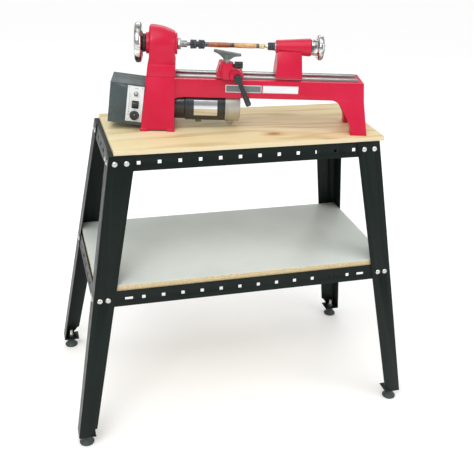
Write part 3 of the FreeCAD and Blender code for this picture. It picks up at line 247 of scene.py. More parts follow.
def laminate(name, look):
    material, nodes, links, shader = tree(name)
    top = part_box("shelf_board")[1].z
    source = nodes.new("ShaderNodeTexCoord")
    parts = nodes.new("ShaderNodeSeparateXYZ")
    links.new(source.outputs["Object"], parts.inputs["Vector"])
    chips = nodes.new("ShaderNodeTexVoronoi")
    chips.inputs["Scale"].default_value = look["chipScale"]
    links.new(source.outputs["Object"], chips.inputs["Vector"])
    core = ramp(nodes, links, chips.outputs["Distance"], [(0.1, look["chipDark"]), (0.6, look["chipPale"])])
    stains = cloud(nodes, links, coords(nodes, links), 7.0, 5.0)
    face = ramp(nodes, links, stains, [(0.35, look["face"]), (0.68, look["stain"])])
    dust = cloud(nodes, links, coords(nodes, links), 240.0, 2.0)
    face = blendColour(nodes, links, spread(nodes, links, dust, 0.0, 0.35, 0.55, 0.75), face, look["dust"])
    below = spread(nodes, links, parts.outputs["Z"], 1.0, 0.0, top - 0.9 * mm, top - 0.7 * mm)
    links.new(blendColour(nodes, links, below, face, core), shader.inputs["Base Color"])
    links.new(spread(nodes, links, stains, 0.3, 0.5), shader.inputs["Roughness"])
    bumped(nodes, links, shader, dust, 0.08, 0.0002)
    return material


def turnedWood(name, look):
    material, nodes, links, shader = tree(name)
    grain = cloud(nodes, links, coords(nodes, links, (40.0, 420.0, 420.0), latheTurn), 1.0, 4.0, 0.6, 0.4)
    figure = cloud(nodes, links, coords(nodes, links, (1, 1, 1), latheTurn), look["figureScale"], 3.0)
    colour = ramp(nodes, links, figure, [(0.32, look["dark"]), (0.5, look["middle"]), (0.68, look["pale"])])
    colour = blendColour(nodes, links, spread(nodes, links, grain, 0.0, 0.6), colour, look["dark"])
    links.new(colour, shader.inputs["Base Color"])
    shader.inputs["Roughness"].default_value = 0.32
    shader.inputs["Coat Weight"].default_value = 0.5
    bumped(nodes, links, shader, grain, 0.15, 0.0002)
    return material


looks = {
    "stand_paint": dict(colour=(0.004, 0.0085, 0.0070), shade=(0.006, 0.0115, 0.0095), rough=(0.34, 0.44),
                        patchScale=6.0, specular=0.20, grainScale=900.0, bump=0.08),
    "red_enamel": dict(colour=(0.56, 0.003, 0.034), shade=(0.63, 0.006, 0.050), rough=(0.30, 0.44), coat=0.18,
                       specular=0.32, grainScale=260.0, bump=0.14, bumpDeep=0.0005),
    "foot_plastic": dict(colour=(0.030, 0.042, 0.042), shade=(0.045, 0.058, 0.056), rough=(0.45, 0.62)),
    "black_plastic": dict(colour=(0.012, 0.014, 0.015), shade=(0.022, 0.026, 0.027), rough=(0.30, 0.45),
                          grainScale=800.0, bump=0.2),
    "black_steel": dict(colour=(0.020, 0.026, 0.030), shade=(0.040, 0.048, 0.052), rough=(0.26, 0.42),
                        metal=0.45, worn=(0.22, 0.24, 0.25), wear=0.6),
    "motor_paint": dict(colour=(0.014, 0.018, 0.021), shade=(0.024, 0.030, 0.034), rough=(0.24, 0.40),
                        coat=0.2, grainScale=500.0),
    "box_paint": dict(colour=(0.038, 0.056, 0.058), shade=(0.055, 0.078, 0.080), rough=(0.38, 0.55),
                      grainScale=1100.0, bump=0.25, worn=(0.28, 0.33, 0.33), wear=0.5),
    "white_panel": dict(colour=(0.82, 0.84, 0.86), shade=(0.74, 0.77, 0.79), rough=(0.25, 0.4), bump=0.05),
    "rest_iron": dict(colour=(0.115, 0.145, 0.138), shade=(0.175, 0.205, 0.195), rough=(0.38, 0.55),
                      metal=0.55, grainScale=420.0, bump=0.3, worn=(0.55, 0.57, 0.56), wear=0.8),
    "cap_aluminium": dict(colour=(0.56, 0.54, 0.49), shade=(0.47, 0.455, 0.42), rough=(0.36, 0.5), metal=0.75,
                          grainScale=700.0, bump=0.25),
    "label_foil": dict(colour=(0.72, 0.73, 0.74), shade=(0.60, 0.62, 0.64), rough=(0.22, 0.36), metal=0.8,
                       stretch=(4, 4, 40), bump=0.08),
    "mirror_foil": dict(colour=(0.80, 0.81, 0.82), shade=(0.74, 0.75, 0.76), rough=(0.10, 0.16), metal=1.0,
                        bump=0.01),
    "zinc": dict(colour=(0.74, 0.74, 0.71), shade=(0.60, 0.60, 0.57), rough=(0.22, 0.36), metal=0.9,
                 bump=0.08),
    "belt_rubber": dict(colour=(0.015, 0.015, 0.015), shade=(0.03, 0.03, 0.03), rough=(0.6, 0.8)),
    "label_green": dict(colour=(0.135, 0.175, 0.165), shade=(0.17, 0.21, 0.20), rough=(0.3, 0.42), bump=0.05),
    "olive_cap": dict(colour=(0.30, 0.25, 0.11), shade=(0.36, 0.31, 0.15), rough=(0.3, 0.45), metal=0.3,
                      bump=0.1),
    "print_grey": dict(colour=(0.16, 0.17, 0.19), shade=(0.22, 0.23, 0.25), rough=(0.4, 0.5), bump=0.05),
}
metals = {
    # chrome: the dark shade patches are painted dark reflections, not dirt
    "chrome": dict(colour=(0.80, 0.81, 0.80), shade=(0.20, 0.21, 0.19), rough=(0.06, 0.16), ringRough=0.02,
                   bump=0.03, smudgeAndReflectionScale=75.0, smudgeAndReflectionBand=(0.46, 0.64)),
    "ground_steel": dict(colour=(0.47, 0.49, 0.48), shade=(0.38, 0.40, 0.39), rough=(0.24, 0.34)),
    "blued_steel": dict(colour=(0.10, 0.11, 0.12), shade=(0.20, 0.21, 0.21), rough=(0.16, 0.28)),
    "bright_steel": dict(colour=(0.72, 0.72, 0.71), shade=(0.56, 0.56, 0.55), rough=(0.14, 0.24)),
    "brass": dict(colour=(0.83, 0.70, 0.44), shade=(0.70, 0.56, 0.30), rough=(0.16, 0.28)),
    "pulley_metal": dict(colour=(0.60, 0.61, 0.62), shade=(0.48, 0.49, 0.50), rough=(0.25, 0.38)),
}
boardLook = dict(pale=(0.86, 0.76, 0.50), middle=(0.79, 0.66, 0.36), dark=(0.60, 0.43, 0.18),
                 knot=(0.080, -0.083), knotLong=0.021, knotWide=0.011, knotPush=0.020, ringCount=34.0,
                 knotHalo=(0.60, 0.34, 0.11), knotColour=(0.33, 0.14, 0.03), plyScale=130.0,
                 edgePale=(0.84, 0.75, 0.52), edgeDark=(0.66, 0.52, 0.30))
shelfLook = dict(face=(0.58, 0.63, 0.60), stain=(0.64, 0.68, 0.64), dust=(0.74, 0.76, 0.71), chipScale=420.0,
                 chipDark=(0.40, 0.28, 0.13), chipPale=(0.68, 0.55, 0.32))
finishes = {slot: coated(slot, look) for slot, look in looks.items()}
finishes.update({slot: turnedMetal(slot, look) for slot, look in metals.items()})
finishes["pine"] = pineBoard("pine", boardLook)
finishes["laminate"] = laminate("laminate", shelfLook)
finishes["blank_dark"] = turnedWood("blank_dark", dict(dark=(0.20, 0.055, 0.02), middle=(0.42, 0.13, 0.035),
                                                        pale=(0.62, 0.24, 0.07), figureScale=70.0))
finishes["blank_light"] = turnedWood("blank_light", dict(dark=(0.42, 0.17, 0.05), middle=(0.68, 0.33, 0.11),
                                                          pale=(0.82, 0.56, 0.28), figureScale=55.0))
print("materials", len(finishes))


def soften(bm, width, segments=2, angle=28.0):
    sharp = [edge for edge in bm.edges
             if len(edge.link_faces) == 2 and math.degrees(edge.calc_face_angle(0.0)) > angle]
    if width and sharp:
        bmesh.ops.bevel(bm, geom=sharp, affect="EDGES", offset=width, offset_type="OFFSET", segments=segments,
                        profile=0.5, material=-1, clamp_overlap=True)
    return bm


def make(name, bm, body, slot, nodes=(), place=None, smooth=32.0, finish=None):
    if place is not None:
        bmesh.ops.transform(bm, matrix=place, verts=bm.verts)
    bmesh.ops.recalc_face_normals(bm, faces=bm.faces)
    mesh = bpy.data.meshes.new(name)
    bm.to_mesh(mesh)
    bm.free()
    mesh.shade_smooth()
    mesh.set_sharp_from_angle(angle=math.radians(smooth))
    piece = bpy.data.objects.new(name, mesh)
    bpy.context.scene.collection.objects.link(piece)
    mesh.materials.append(finishes[finish or slot])
    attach(piece, body)
    if nodes:
        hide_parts(*nodes)
    return piece


def merged(node):
    bm = bmesh.new()
    bm.from_mesh(frame["nodes"][node].data)
    bmesh.ops.remove_doubles(bm, verts=bm.verts, dist=2e-6)
    bmesh.ops.dissolve_limit(bm, angle_limit=math.radians(0.6), verts=bm.verts, edges=bm.edges)
    return bm


def refined(node, width, segments=2, finish=None):
    bm = soften(merged(node), width * mm, segments)
    return make(f"{node}_finished", bm, bodyOf[node], slotOf[node], [node], finish=finish)


def spun(profile, steps=72, closed=False):
    bm = bmesh.new()
    verts = [bm.verts.new((along * mm, 0, radius * mm)) for along, radius in profile]
    edges = [bm.edges.new(pair) for pair in zip(verts, verts[1:])]
    if closed:
        edges.append(bm.edges.new((verts[-1], verts[0])))
    bmesh.ops.spin(bm, geom=verts + edges, cent=(0, 0, 0), axis=(1, 0, 0), angle=2 * math.pi, steps=steps,
                   use_merge=True, use_duplicate=False)
    bmesh.ops.remove_doubles(bm, verts=bm.verts, dist=1e-7)
    bmesh.ops.recalc_face_normals(bm, faces=bm.faces)
    return bm


def ribbed(bm, start, end, count, depth, wave=False):
    # sinks every other line of points between two places along X, or presses a wave into them
    for vert in bm.verts:
        radius = math.hypot(vert.co.y, vert.co.z)
        if not start * mm < vert.co.x < end * mm or radius < depth * mm:
            continue
        turn = math.atan2(vert.co.z, vert.co.y) * count
        press = 0.5 - 0.5 * math.cos(turn) if wave else float(math.cos(turn) < 0)
        vert.co.y *= 1 - press * depth * mm / radius
        vert.co.z *= 1 - press * depth * mm / radius
    return bm


def rounded(start, end, radius, edge, steps=4):
    # the upper half of a ring's section: flat ends, a flat rim and rounded corners
    points = []
    for centre, turn in ((start + edge, 180), (end - edge, 90)):
        for step in range(steps + 1):
            angle = math.radians(turn - 90 * step / steps)
            points.append((centre + edge * math.cos(angle), radius - edge + edge * math.sin(angle)))
    return points


def drum(radius, start, end, sides=48):
    bm = bmesh.new()
    middle = Matrix.Translation(((start + end) / 2 * mm, 0, 0))
    bmesh.ops.create_cone(bm, cap_ends=True, segments=sides, radius1=radius * mm, radius2=radius * mm,
                          depth=(end - start) * mm, matrix=middle @ toX)
    return bm


def block(size, centre=(0, 0, 0)):
    bm = bmesh.new()
    place = Matrix.Translation([value * mm for value in centre])
    scale = Matrix.Diagonal([value * mm for value in size] + [1])
    bmesh.ops.create_cube(bm, size=1.0, matrix=place @ scale)
    return bm


def joined(*shapes):
    whole = shapes[0]
    for shape in shapes[1:]:
        mesh = bpy.data.meshes.new("part")
        shape.to_mesh(mesh)
        shape.free()
        whole.from_mesh(mesh)
        bpy.data.meshes.remove(mesh)
    return whole


def shifted(bm, *matrices):
    for matrix in matrices:
        bmesh.ops.transform(bm, matrix=matrix, verts=bm.verts)
    return bm


def along(node, place=spindleLine):
    # a turned node's left end, right end and radius, in millimetres along its own line
    low, high = span(node, place)
    return low.x / mm, high.x / mm, high.z / mm


def at(x=0.0, y=0.0, z=0.0):
    return Matrix.Translation((x * mm, y * mm, z * mm))


# stand: pressed steel with small rolled edges, boards with eased edges
standEdges = dict(steel=0.35, board=0.7, shelf=0.4)
corners = ("front_left", "front_right", "rear_left", "rear_right")
for corner in corners:
    refined(f"leg_{corner}", standEdges["steel"])
for node in ("top_long_rails", "top_end_rails", "shelf_long_rails", "shelf_end_rails"):
    refined(node, standEdges["steel"], 1)
refined("bench_top", standEdges["board"], 3)
refined("shelf_board", standEdges["shelf"])


def levellingFoot(corner):
    node = f"levelling_foot_{corner}"
    low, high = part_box(node)
    foot = dict(rim=3.5, dome=10.0, neck=8.5, padHigh=20.0, stem=5.0, pitch=1.25, hex=8.5, hexLow=22.7,
                hexHigh=29.7)
    radius, top = (high.x - low.x) / 2 / mm, high.z / mm
    centre = Matrix.Translation(((low.x + high.x) / 2, (low.y + high.y) / 2, 0)) @ toX.inverted()
    pad = spun([(0, 0), (0, radius - 2), (0.6, radius - 0.6), (foot["rim"], radius),
                (foot["rim"] + 1.5, radius - 1.2), (foot["dome"], radius * 0.72),
                (foot["padHigh"] - 3, foot["neck"] + 0.6), (foot["padHigh"], foot["neck"]),
                (foot["padHigh"], 0)], 48)
    turns = int((top - foot["padHigh"] - 1) / foot["pitch"])
    thread = [(foot["padHigh"] - 1, 0), (foot["padHigh"] - 1, foot["stem"])]
    for turn in range(turns):
        start = foot["padHigh"] + turn * foot["pitch"]
        thread += [(start + foot["pitch"] * 0.5, foot["stem"] - 0.5), (start + foot["pitch"], foot["stem"])]
    thread += [(top, foot["stem"] - 0.8), (top, 0)]
    stem = spun(thread, 24)
    collar = soften(drum(foot["hex"], foot["hexLow"], foot["hexHigh"], 6), 0.6 * mm)
    make(f"foot_pad_{corner}", pad, bodyOf[node], "foot_plastic", [node], centre)
    make(f"foot_stem_{corner}", joined(stem, collar), bodyOf[node], "zinc", [node], centre, 40.0)


for corner in corners:
    levellingFoot(corner)
print("stand finished")

# castings: enamel laid over rounded sand-cast edges
castEdges = dict(bed_casting=1.6, headstock_casting=1.5, tailstock_casting=1.6, banjo=1.3)
for node, edge in castEdges.items():
    refined(node, edge, 3)
refined("bed_ways", 0.5)
refined("bed_label_plates", 0.15, 1)
labels = dict(inset=1.8, proud=0.12, split=61.5)
low, high = span("bed_label_plates")
labelHigh = (high.z - low.z) / mm - 2 * labels["inset"]
for name, left, right, finish in (("label_left_face", low.x / mm, labels["split"] - 1.5, "label_green"),
                                  ("label_right_face", labels["split"] + 1.5, high.x / mm, "white_panel")):
    face = block((right - left - 2 * labels["inset"], labels["proud"] * 2, labelHigh),
                 ((left + right) / 2, low.y / mm, (low.z + high.z) / 2 / mm))
    make(name, face, "stand", "label_foil", (), lathe, finish=finish)
print("castings finished")


def spindleNose():
    nose = dict(gap=0.3, flange=14.5, flangeWide=8.4, thread=8.5, threadPitch=1.8, threadDeep=0.7,
                collar=2.0, journal=9.0, seat=10, bore=6)
    left, right, _ = along("spindle")
    headRight = along("headstock_casting")[1]
    start = headRight + nose["gap"] + nose["flangeWide"]
    flange = soften(drum(nose["flange"], headRight + nose["gap"], start, 6), 1.2 * mm, 3)
    outer = nose["thread"]
    profile = [(start - 2, nose["bore"]), (start - 2, outer - 1), (start + nose["collar"], outer - 1)]
    turns = int((right - start - nose["collar"]) / nose["threadPitch"])
    for turn in range(turns):
        base = start + nose["collar"] + turn * nose["threadPitch"]
        profile += [(base + nose["threadPitch"] * 0.25, outer), (base + nose["threadPitch"] * 0.55, outer),
                    (base + nose["threadPitch"] * 0.8, outer - nose["threadDeep"])]
    profile += [(right, outer - nose["threadDeep"]), (right, nose["bore"])]
    thread = spun(profile, 64, True)
    seatLeft = along("headstock_casting")[0] - nose["gap"]
    shaft = spun([(left, nose["bore"]), (left, nose["journal"] - 1), (left + 1, nose["journal"]),
                  (seatLeft, nose["journal"]), (seatLeft, nose["seat"]), (start - 4, nose["seat"]),
                  (start - 4, nose["bore"])], 48, True)
    make("spindle_nose", joined(flange, thread, shaft), "spindle", "ground_steel", ["spindle"], spindleLine)


def headWheel():
    wheel = dict(rimDeep=10.0, rimEdge=7.5, web=5.0, hubRadius=18.5, bore=9.0, dish=2.0)
    left, right, radius = along("spindle_handwheel")
    inner = radius - wheel["rimDeep"]
    profile = [(left + 3, wheel["bore"]), (left + 3, wheel["hubRadius"] - 2),
               (left + 4.5, wheel["hubRadius"]), (left + wheel["web"], wheel["hubRadius"] + 6),
               (left + wheel["web"] + 1, inner - 3), (left + 1.4, inner - 0.6), (left, inner + 1)]
    profile += rounded(left, right, radius, wheel["rimEdge"])[1:]
    profile += [(right, inner + 1), (right - 1.4, inner - 0.6), (right - 4, inner - 3),
                (right - 4 + wheel["dish"], wheel["hubRadius"] + 2), (right, wheel["hubRadius"]),
                (right, wheel["bore"])]
    make("spindle_wheel_rim", spun(profile, 96, True), "spindle", "chrome", ["spindle_handwheel"],
         spindleLine, 40.0)
    left, right, radius = along("handwheel_hub")
    hub = dict(grooves=24, deep=0.9, bore=9.0)
    profile = [(left, hub["bore"]), (left, radius - 2), (left + 1.6, radius), (left + 2, radius),
               (right - 2, radius), (right - 1.6, radius), (right, radius - 2), (right, hub["bore"])]
    shape = ribbed(spun(profile, hub["grooves"] * 4, True), left + 1.8, right - 1.8, hub["grooves"],
                   hub["deep"])
    make("spindle_wheel_hub", shape, "spindle", "black_plastic", ["handwheel_hub"], spindleLine, 25.0)


def penMandrel():
    mandrel = dict(rod=3.2, neck=4.5, neckEdge=0.6, taper=5.6)
    left, right, _ = along("pen_mandrel")
    noseEnd = along("spindle")[1]
    nutsStart = along("collet_nuts")[0]
    profile = [(left, 0), (left, 5), (noseEnd, mandrel["taper"]),
               (noseEnd + mandrel["neckEdge"], mandrel["neck"]),
               (nutsStart - mandrel["neckEdge"], mandrel["neck"]), (nutsStart, mandrel["rod"]),
               (right - 1, mandrel["rod"]), (right, mandrel["rod"] - 0.8), (right, 2.3), (right - 4, 0)]
    make("mandrel_rod", spun(profile, 48), "spindle", "bright_steel", ["pen_mandrel"], spindleLine,
         finish="blued_steel")

    nut = dict(wide=16.0, gap=4.0, ridges=30, deep=0.55, chamfer=1.4, groove=1.0, grooveAt=0.56,
               grooveDeep=1.3, bore=3.2)
    start, _, radius = along("collet_nuts")
    shapes = []
    for number in range(2):
        left = start + number * (nut["wide"] + nut["gap"])
        right, middle = left + nut["wide"], left + nut["wide"] * nut["grooveAt"]
        profile = [(left, nut["bore"]), (left, radius - nut["chamfer"]), (left + nut["chamfer"], radius),
                   (middle - nut["groove"], radius),
                   (middle - nut["groove"] * 0.5, radius - nut["grooveDeep"]),
                   (middle + nut["groove"] * 0.5, radius - nut["grooveDeep"]),
                   (middle + nut["groove"], radius),
                   (right - nut["chamfer"] * 2, radius), (right, radius - nut["chamfer"] * 2),
                   (right, nut["bore"])]
        shapes.append(ribbed(spun(profile, nut["ridges"] * 4, True), left + 1, middle - 0.9, nut["ridges"],
                             nut["deep"]))
    make("collet_nut_pair", joined(*shapes), "spindle", "black_steel", ["collet_nuts"], spindleLine, 25.0)

    bushing = dict(bore=3.2, edge=0.5, grooveAt=0.5, grooveDeep=0.7)
    blankEnds = [along(node)[:2] for node in ("pen_blank_dark", "pen_blank_light")]
    nutLeft = along("mandrel_nut")[0]
    _, stackEnd, nutRadius = along("collet_nuts")
    gapStart = start + nut["wide"]
    spacers = [(gapStart, gapStart + nut["gap"], nutRadius - 4), (stackEnd, blankEnds[0][0], 5.8),
               (blankEnds[0][1], blankEnds[1][0], 5.8), (blankEnds[1][1], nutLeft, 5.8)]
    shapes = []
    for left, right, radius in spacers:
        middle = left + (right - left) * bushing["grooveAt"]
        shapes.append(spun([(left, bushing["bore"]), (left, radius - bushing["edge"]),
                            (left + bushing["edge"], radius), (middle - 0.6, radius),
                            (middle, radius - bushing["grooveDeep"]), (middle + 0.6, radius),
                            (right - bushing["edge"], radius), (right, radius - bushing["edge"]),
                            (right, bushing["bore"])], 48, True))
    make("bushing_set", joined(*shapes), "spindle", "bright_steel", ["mandrel_bushings"], spindleLine,
         finish="blued_steel")

    blank = dict(end=5.8, bore=3.2, points=14)
    for node in ("pen_blank_dark", "pen_blank_light"):
        left, right, radius = along(node)
        profile = [(left, blank["bore"])]
        for step in range(blank["points"] + 1):
            share = step / blank["points"]
            profile.append((left + (right - left) * share,
                            blank["end"] + (radius - blank["end"]) * math.sin(math.pi * share) ** 0.7))
        profile.append((right, blank["bore"]))
        make(f"{node}_turned", spun(profile, 56, True), "spindle", node.replace("pen_", ""), [node],
             spindleLine)

    left, right, radius = along("mandrel_nut")
    knurl = dict(bore=3.2, ridges=24, deep=0.35)
    profile = [(left, knurl["bore"]), (left, radius - 0.9), (left + 0.8, radius - 0.2),
               (left + 4, radius - 0.2), (left + 4.4, radius - 1.2), (left + 5.2, radius - 1.2),
               (left + 5.6, radius), (right - 1, radius), (right, radius - 1), (right, knurl["bore"])]
    shape = ribbed(spun(profile, knurl["ridges"] * 4, True), left + 5.4, right - 0.9, knurl["ridges"],
                   knurl["deep"])
    make("mandrel_nut_knurled", shape, "spindle", "brass", ["mandrel_nut"], spindleLine, 25.0)


spindleNose()
headWheel()
penMandrel()
print("spindle line finished")


def motor():
    shell = dict(nose=39.0, noseEdge=2.0, stepAt=27.6, inside=35.0, wall=4.0, ringDeep=0.5, bore=11)
    left, right, radius = along("motor_shell", motorLine)
    step = left + shell["stepAt"]
    groove = radius - shell["ringDeep"]
    profile = [(left, shell["bore"]), (left, shell["nose"] - shell["noseEdge"]),
               (left + shell["noseEdge"], shell["nose"]), (step - 1.2, shell["nose"]),
               (step, shell["nose"] + 0.6), (step + 0.8, radius - 0.8), (step + 2, radius),
               (step + 7, radius), (step + 7.4, groove), (step + 8.4, groove), (step + 8.8, radius),
               (right - 6, radius), (right - 5.6, groove), (right - 4.6, groove), (right - 4.2, radius),
               (right, radius), (right, radius - shell["wall"]), (step + 4, radius - shell["wall"]),
               (step + 4, shell["inside"]), (left + 9, shell["inside"]), (left + 9, shell["bore"])]
    make("motor_body", spun(profile, 96, True), "stand", "motor_paint", ["motor_shell"], motorLine, 30.0)
    cap = dict(edge=4.0, vents=12, ventIn=18.0, ventOut=32.0, ventDeep=1.6)
    left, right, radius = along("motor_end_cap", motorLine)
    profile = [(left, radius - 4), (left, radius - 0.6), (left + 0.6, radius), (left + 4, radius),
               (left + 4.5, radius - 0.8), (left + 5.5, radius - 0.8), (left + 6, radius)]
    profile += rounded(left + 7, right, radius, cap["edge"])[5:]
    profile += [(right, cap["ventOut"]), (right, cap["ventIn"]), (right - 0.01, 12), (right - 1.5, 10.5),
                (right - 1.5, 0)]
    bm = spun(profile, cap["vents"] * 8)
    vents = []
    for face in bm.faces:
        centre = face.calc_center_median()
        ring = math.hypot(centre.y, centre.z) / mm
        sector = (math.degrees(math.atan2(centre.z, centre.y)) % 360) / 360 * cap["vents"]
        onFace = cap["ventIn"] < ring < cap["ventOut"] and abs(centre.x / mm - right) < 0.1
        if onFace and 0.25 < sector % 1 < 0.75:
            vents.append(face)
    pushed = bmesh.ops.extrude_face_region(bm, geom=vents)
    bmesh.ops.translate(bm, verts=[item for item in pushed["geom"] if isinstance(item, bmesh.types.BMVert)],
                        vec=(-cap["ventDeep"] * mm, 0, 0))
    bmesh.ops.delete(bm, geom=vents, context="FACES")
    make("motor_cap", bm, "stand", "cap_aluminium", ["motor_end_cap"], motorLine, 30.0)
    screw = dict(count=4, radius=2.6, high=1.4, sunk=1.3, inset=6)
    shapes = []
    for number in range(screw["count"]):
        head = soften(drum(screw["radius"], right, right + screw["high"], 20), 0.4 * mm)
        turn = Matrix.Rotation(math.radians(45 + 90 * number), 4, "X")
        shapes.append(shifted(head, at(-screw["sunk"], 0, radius - screw["inset"]), turn))
    make("motor_cap_screws", joined(*shapes), "stand", "zinc", (), motorLine)
    refined("motor_plate", 0.12, 1, finish="mirror_foil")
    refined("motor_cable_gland", 0.5)
    refined("brush_caps", 0.5, finish="olive_cap")


motor()
print("motor finished")


def tailstockParts():
    quill = dict(edge=0.8, mark=0.35, markEvery=5.0)
    left, right, radius = along("quill")
    profile = [(left, 6), (left, radius - quill["edge"]), (left + quill["edge"], radius)]
    place = left + quill["markEvery"]
    while place < right - 2:
        profile += [(place - 0.25, radius), (place, radius - quill["mark"]), (place + 0.25, radius)]
        place += quill["markEvery"]
    profile += [(right, radius), (right, 6)]
    make("quill_tube", spun(profile, 64, True), "quill", "ground_steel", ["quill"], spindleLine)

    left, right, _ = along("live_centre_point")
    coneEnd = along("live_centre_body")[0]
    tip = dict(halfAngle=29, land=1.8, gap=0.3, stem=4)
    wide = (coneEnd - tip["land"] - left) * math.tan(math.radians(tip["halfAngle"]))
    profile = [(left, 0), (left + 0.25, 0.2), (coneEnd - tip["land"], wide), (coneEnd - tip["gap"], wide),
               (coneEnd - tip["gap"], tip["stem"]), (right, tip["stem"]), (right, 0)]
    make("centre_tip", spun(profile, 48), "centre_point", "bright_steel", ["live_centre_point"], spindleLine)
    left, right, radius = along("live_centre_body")
    body = along("quill")[0]
    profile = [(left, 4.1), (left, radius - 2.4), (left + 0.5, radius - 2), (left + 2, radius),
               (left + 5, radius), (left + 5.4, radius - 0.8), (left + 6.2, radius - 0.8),
               (left + 6.6, radius), (left + 10, radius), (left + 10.4, radius - 0.8),
               (left + 11.2, radius - 0.8), (left + 11.6, radius), (body - 1, radius),
               (body, radius - 1), (body, 5.9), (right, 5.9), (right, 0), (body - 4, 0), (body - 4, 4.1)]
    make("centre_body", spun(profile, 64), "quill", "black_steel", ["live_centre_body"], spindleLine)

    wheel = dict(hub=20.0, rimFrom=15.7, rimWide=15.0, rimDeep=7.0, rimEdge=5.5, knob=9.4, knobEdge=2.5)
    left, right, radius = along("tailstock_handwheel")
    rimLeft = left + wheel["rimFrom"]
    rimRight = rimLeft + wheel["rimWide"]
    inner = radius - wheel["rimDeep"]
    profile = [(left, 0), (left, wheel["hub"] - 1), (left + 1, wheel["hub"]), (left + 3, wheel["hub"]),
               (left + 3.5, wheel["hub"] - 0.6), (left + 4.5, wheel["hub"] - 0.6), (left + 5, wheel["hub"]),
               (rimLeft + 2.4, wheel["hub"]), (rimLeft + 3.4, inner - 1.5), (rimLeft + 1, inner - 0.6),
               (rimLeft, inner + 0.8)]
    profile += rounded(rimLeft, rimRight, radius, wheel["rimEdge"])[1:]
    profile += [(rimRight, inner + 0.8), (rimRight - 1, inner - 0.6), (rimRight - 4, inner - 2.5),
                (rimRight - 4.5, wheel["knob"] + 3), (rimRight - 3, wheel["knob"])]
    profile += rounded(right - 9, right, wheel["knob"], wheel["knobEdge"])[5:] + [(right, 0)]
    make("tail_wheel", spun(profile, 96), "tailstock_wheel", "chrome", ["tailstock_handwheel"], spindleLine,
         40.0)


tailstockParts()
print("tailstock finished")


def leverOn(name, node, jointName, body, hub, arm, front=True):
    # a round hub on the pin with a waisted, flat-ended grip that leans away from it
    low, high = span(node)
    pivot = lathe.inverted() @ Vector(joints[jointName]["pos_m"])
    side = -1 if front else 1
    outer = (low.y if front else high.y) / mm
    profile = [(0, 0), (0, arm["root"]), (arm["neckAt"], arm["neck"]), (arm["gripAt"], arm["grip"] - 0.6),
               (arm["gripAt"] + 4, arm["grip"]), (arm["long"] - 3, arm["grip"] + 0.6),
               (arm["long"], arm["grip"] - 0.8), (arm["long"], 0)]
    grip = spun(profile, 40)
    lean = Matrix.Rotation(math.radians(arm["lean"]), 4, "Y")
    shifted(grip, lean, Matrix.Translation((pivot.x, (outer - side * hub["wide"] / 2) * mm, pivot.z)))
    ends = sorted((outer, outer - side * hub["wide"]))
    turnY = Matrix.Rotation(math.pi / 2, 4, "Z")
    profile = [(ends[0], 0), (ends[0], hub["radius"] - hub["edge"])]
    profile += rounded(ends[0], ends[1], hub["radius"], hub["edge"])[1:-1]
    profile += [(ends[1], hub["radius"] - hub["edge"]), (ends[1], 0)]
    boss = shifted(spun(profile, 48), turnY, Matrix.Translation((pivot.x, 0, pivot.z)))
    inner = (high.y if front else low.y) / mm
    pin = drum(hub["pin"], *sorted((inner, outer - side * 2)), 32)
    shifted(pin, turnY, Matrix.Translation((pivot.x, 0, pivot.z)))
    make(name, joined(grip, boss, pin), body, "black_steel", [node], lathe)


leverOn("cam_lever_arm", "cam_lever", "cam_lever_turn", "cam_lever",
        dict(wide=16.0, radius=10.8, edge=2.2, pin=6.0),
        dict(root=6.4, neckAt=18, neck=5.0, gripAt=32, grip=6.6, long=71.5, lean=65.6))
leverOn("tailstock_lever_arm", "tailstock_lever", "tailstock_lever_turn", "tailstock_lever",
        dict(wide=15.7, radius=8.8, edge=1.8, pin=5.0),
        dict(root=4.4, neckAt=14, neck=3.6, gripAt=26, grip=5.6, long=61.5, lean=-30), False)
refined("tool_rest", 1.2, 3)
refined("rest_lock_knob", 1.2, 3)
refined("rest_post", 0.5)
print("levers and rest finished")

# control box, in a frame square to its own front
boxX = Vector(joints["power_rocker_tilt"]["axis"]).normalized()
boxY = Vector(joints["speed_turn"]["axis"]).normalized()
boxZ = boxX.cross(boxY)
boxTurn = Matrix((boxX, boxY, boxZ)).transposed().to_4x4()
knobPlace = Matrix.Translation(joints["speed_turn"]["pos_m"]) @ boxTurn
outFront = Matrix.Rotation(-math.pi / 2, 4, "Z")   # X of a spun shape towards the operator


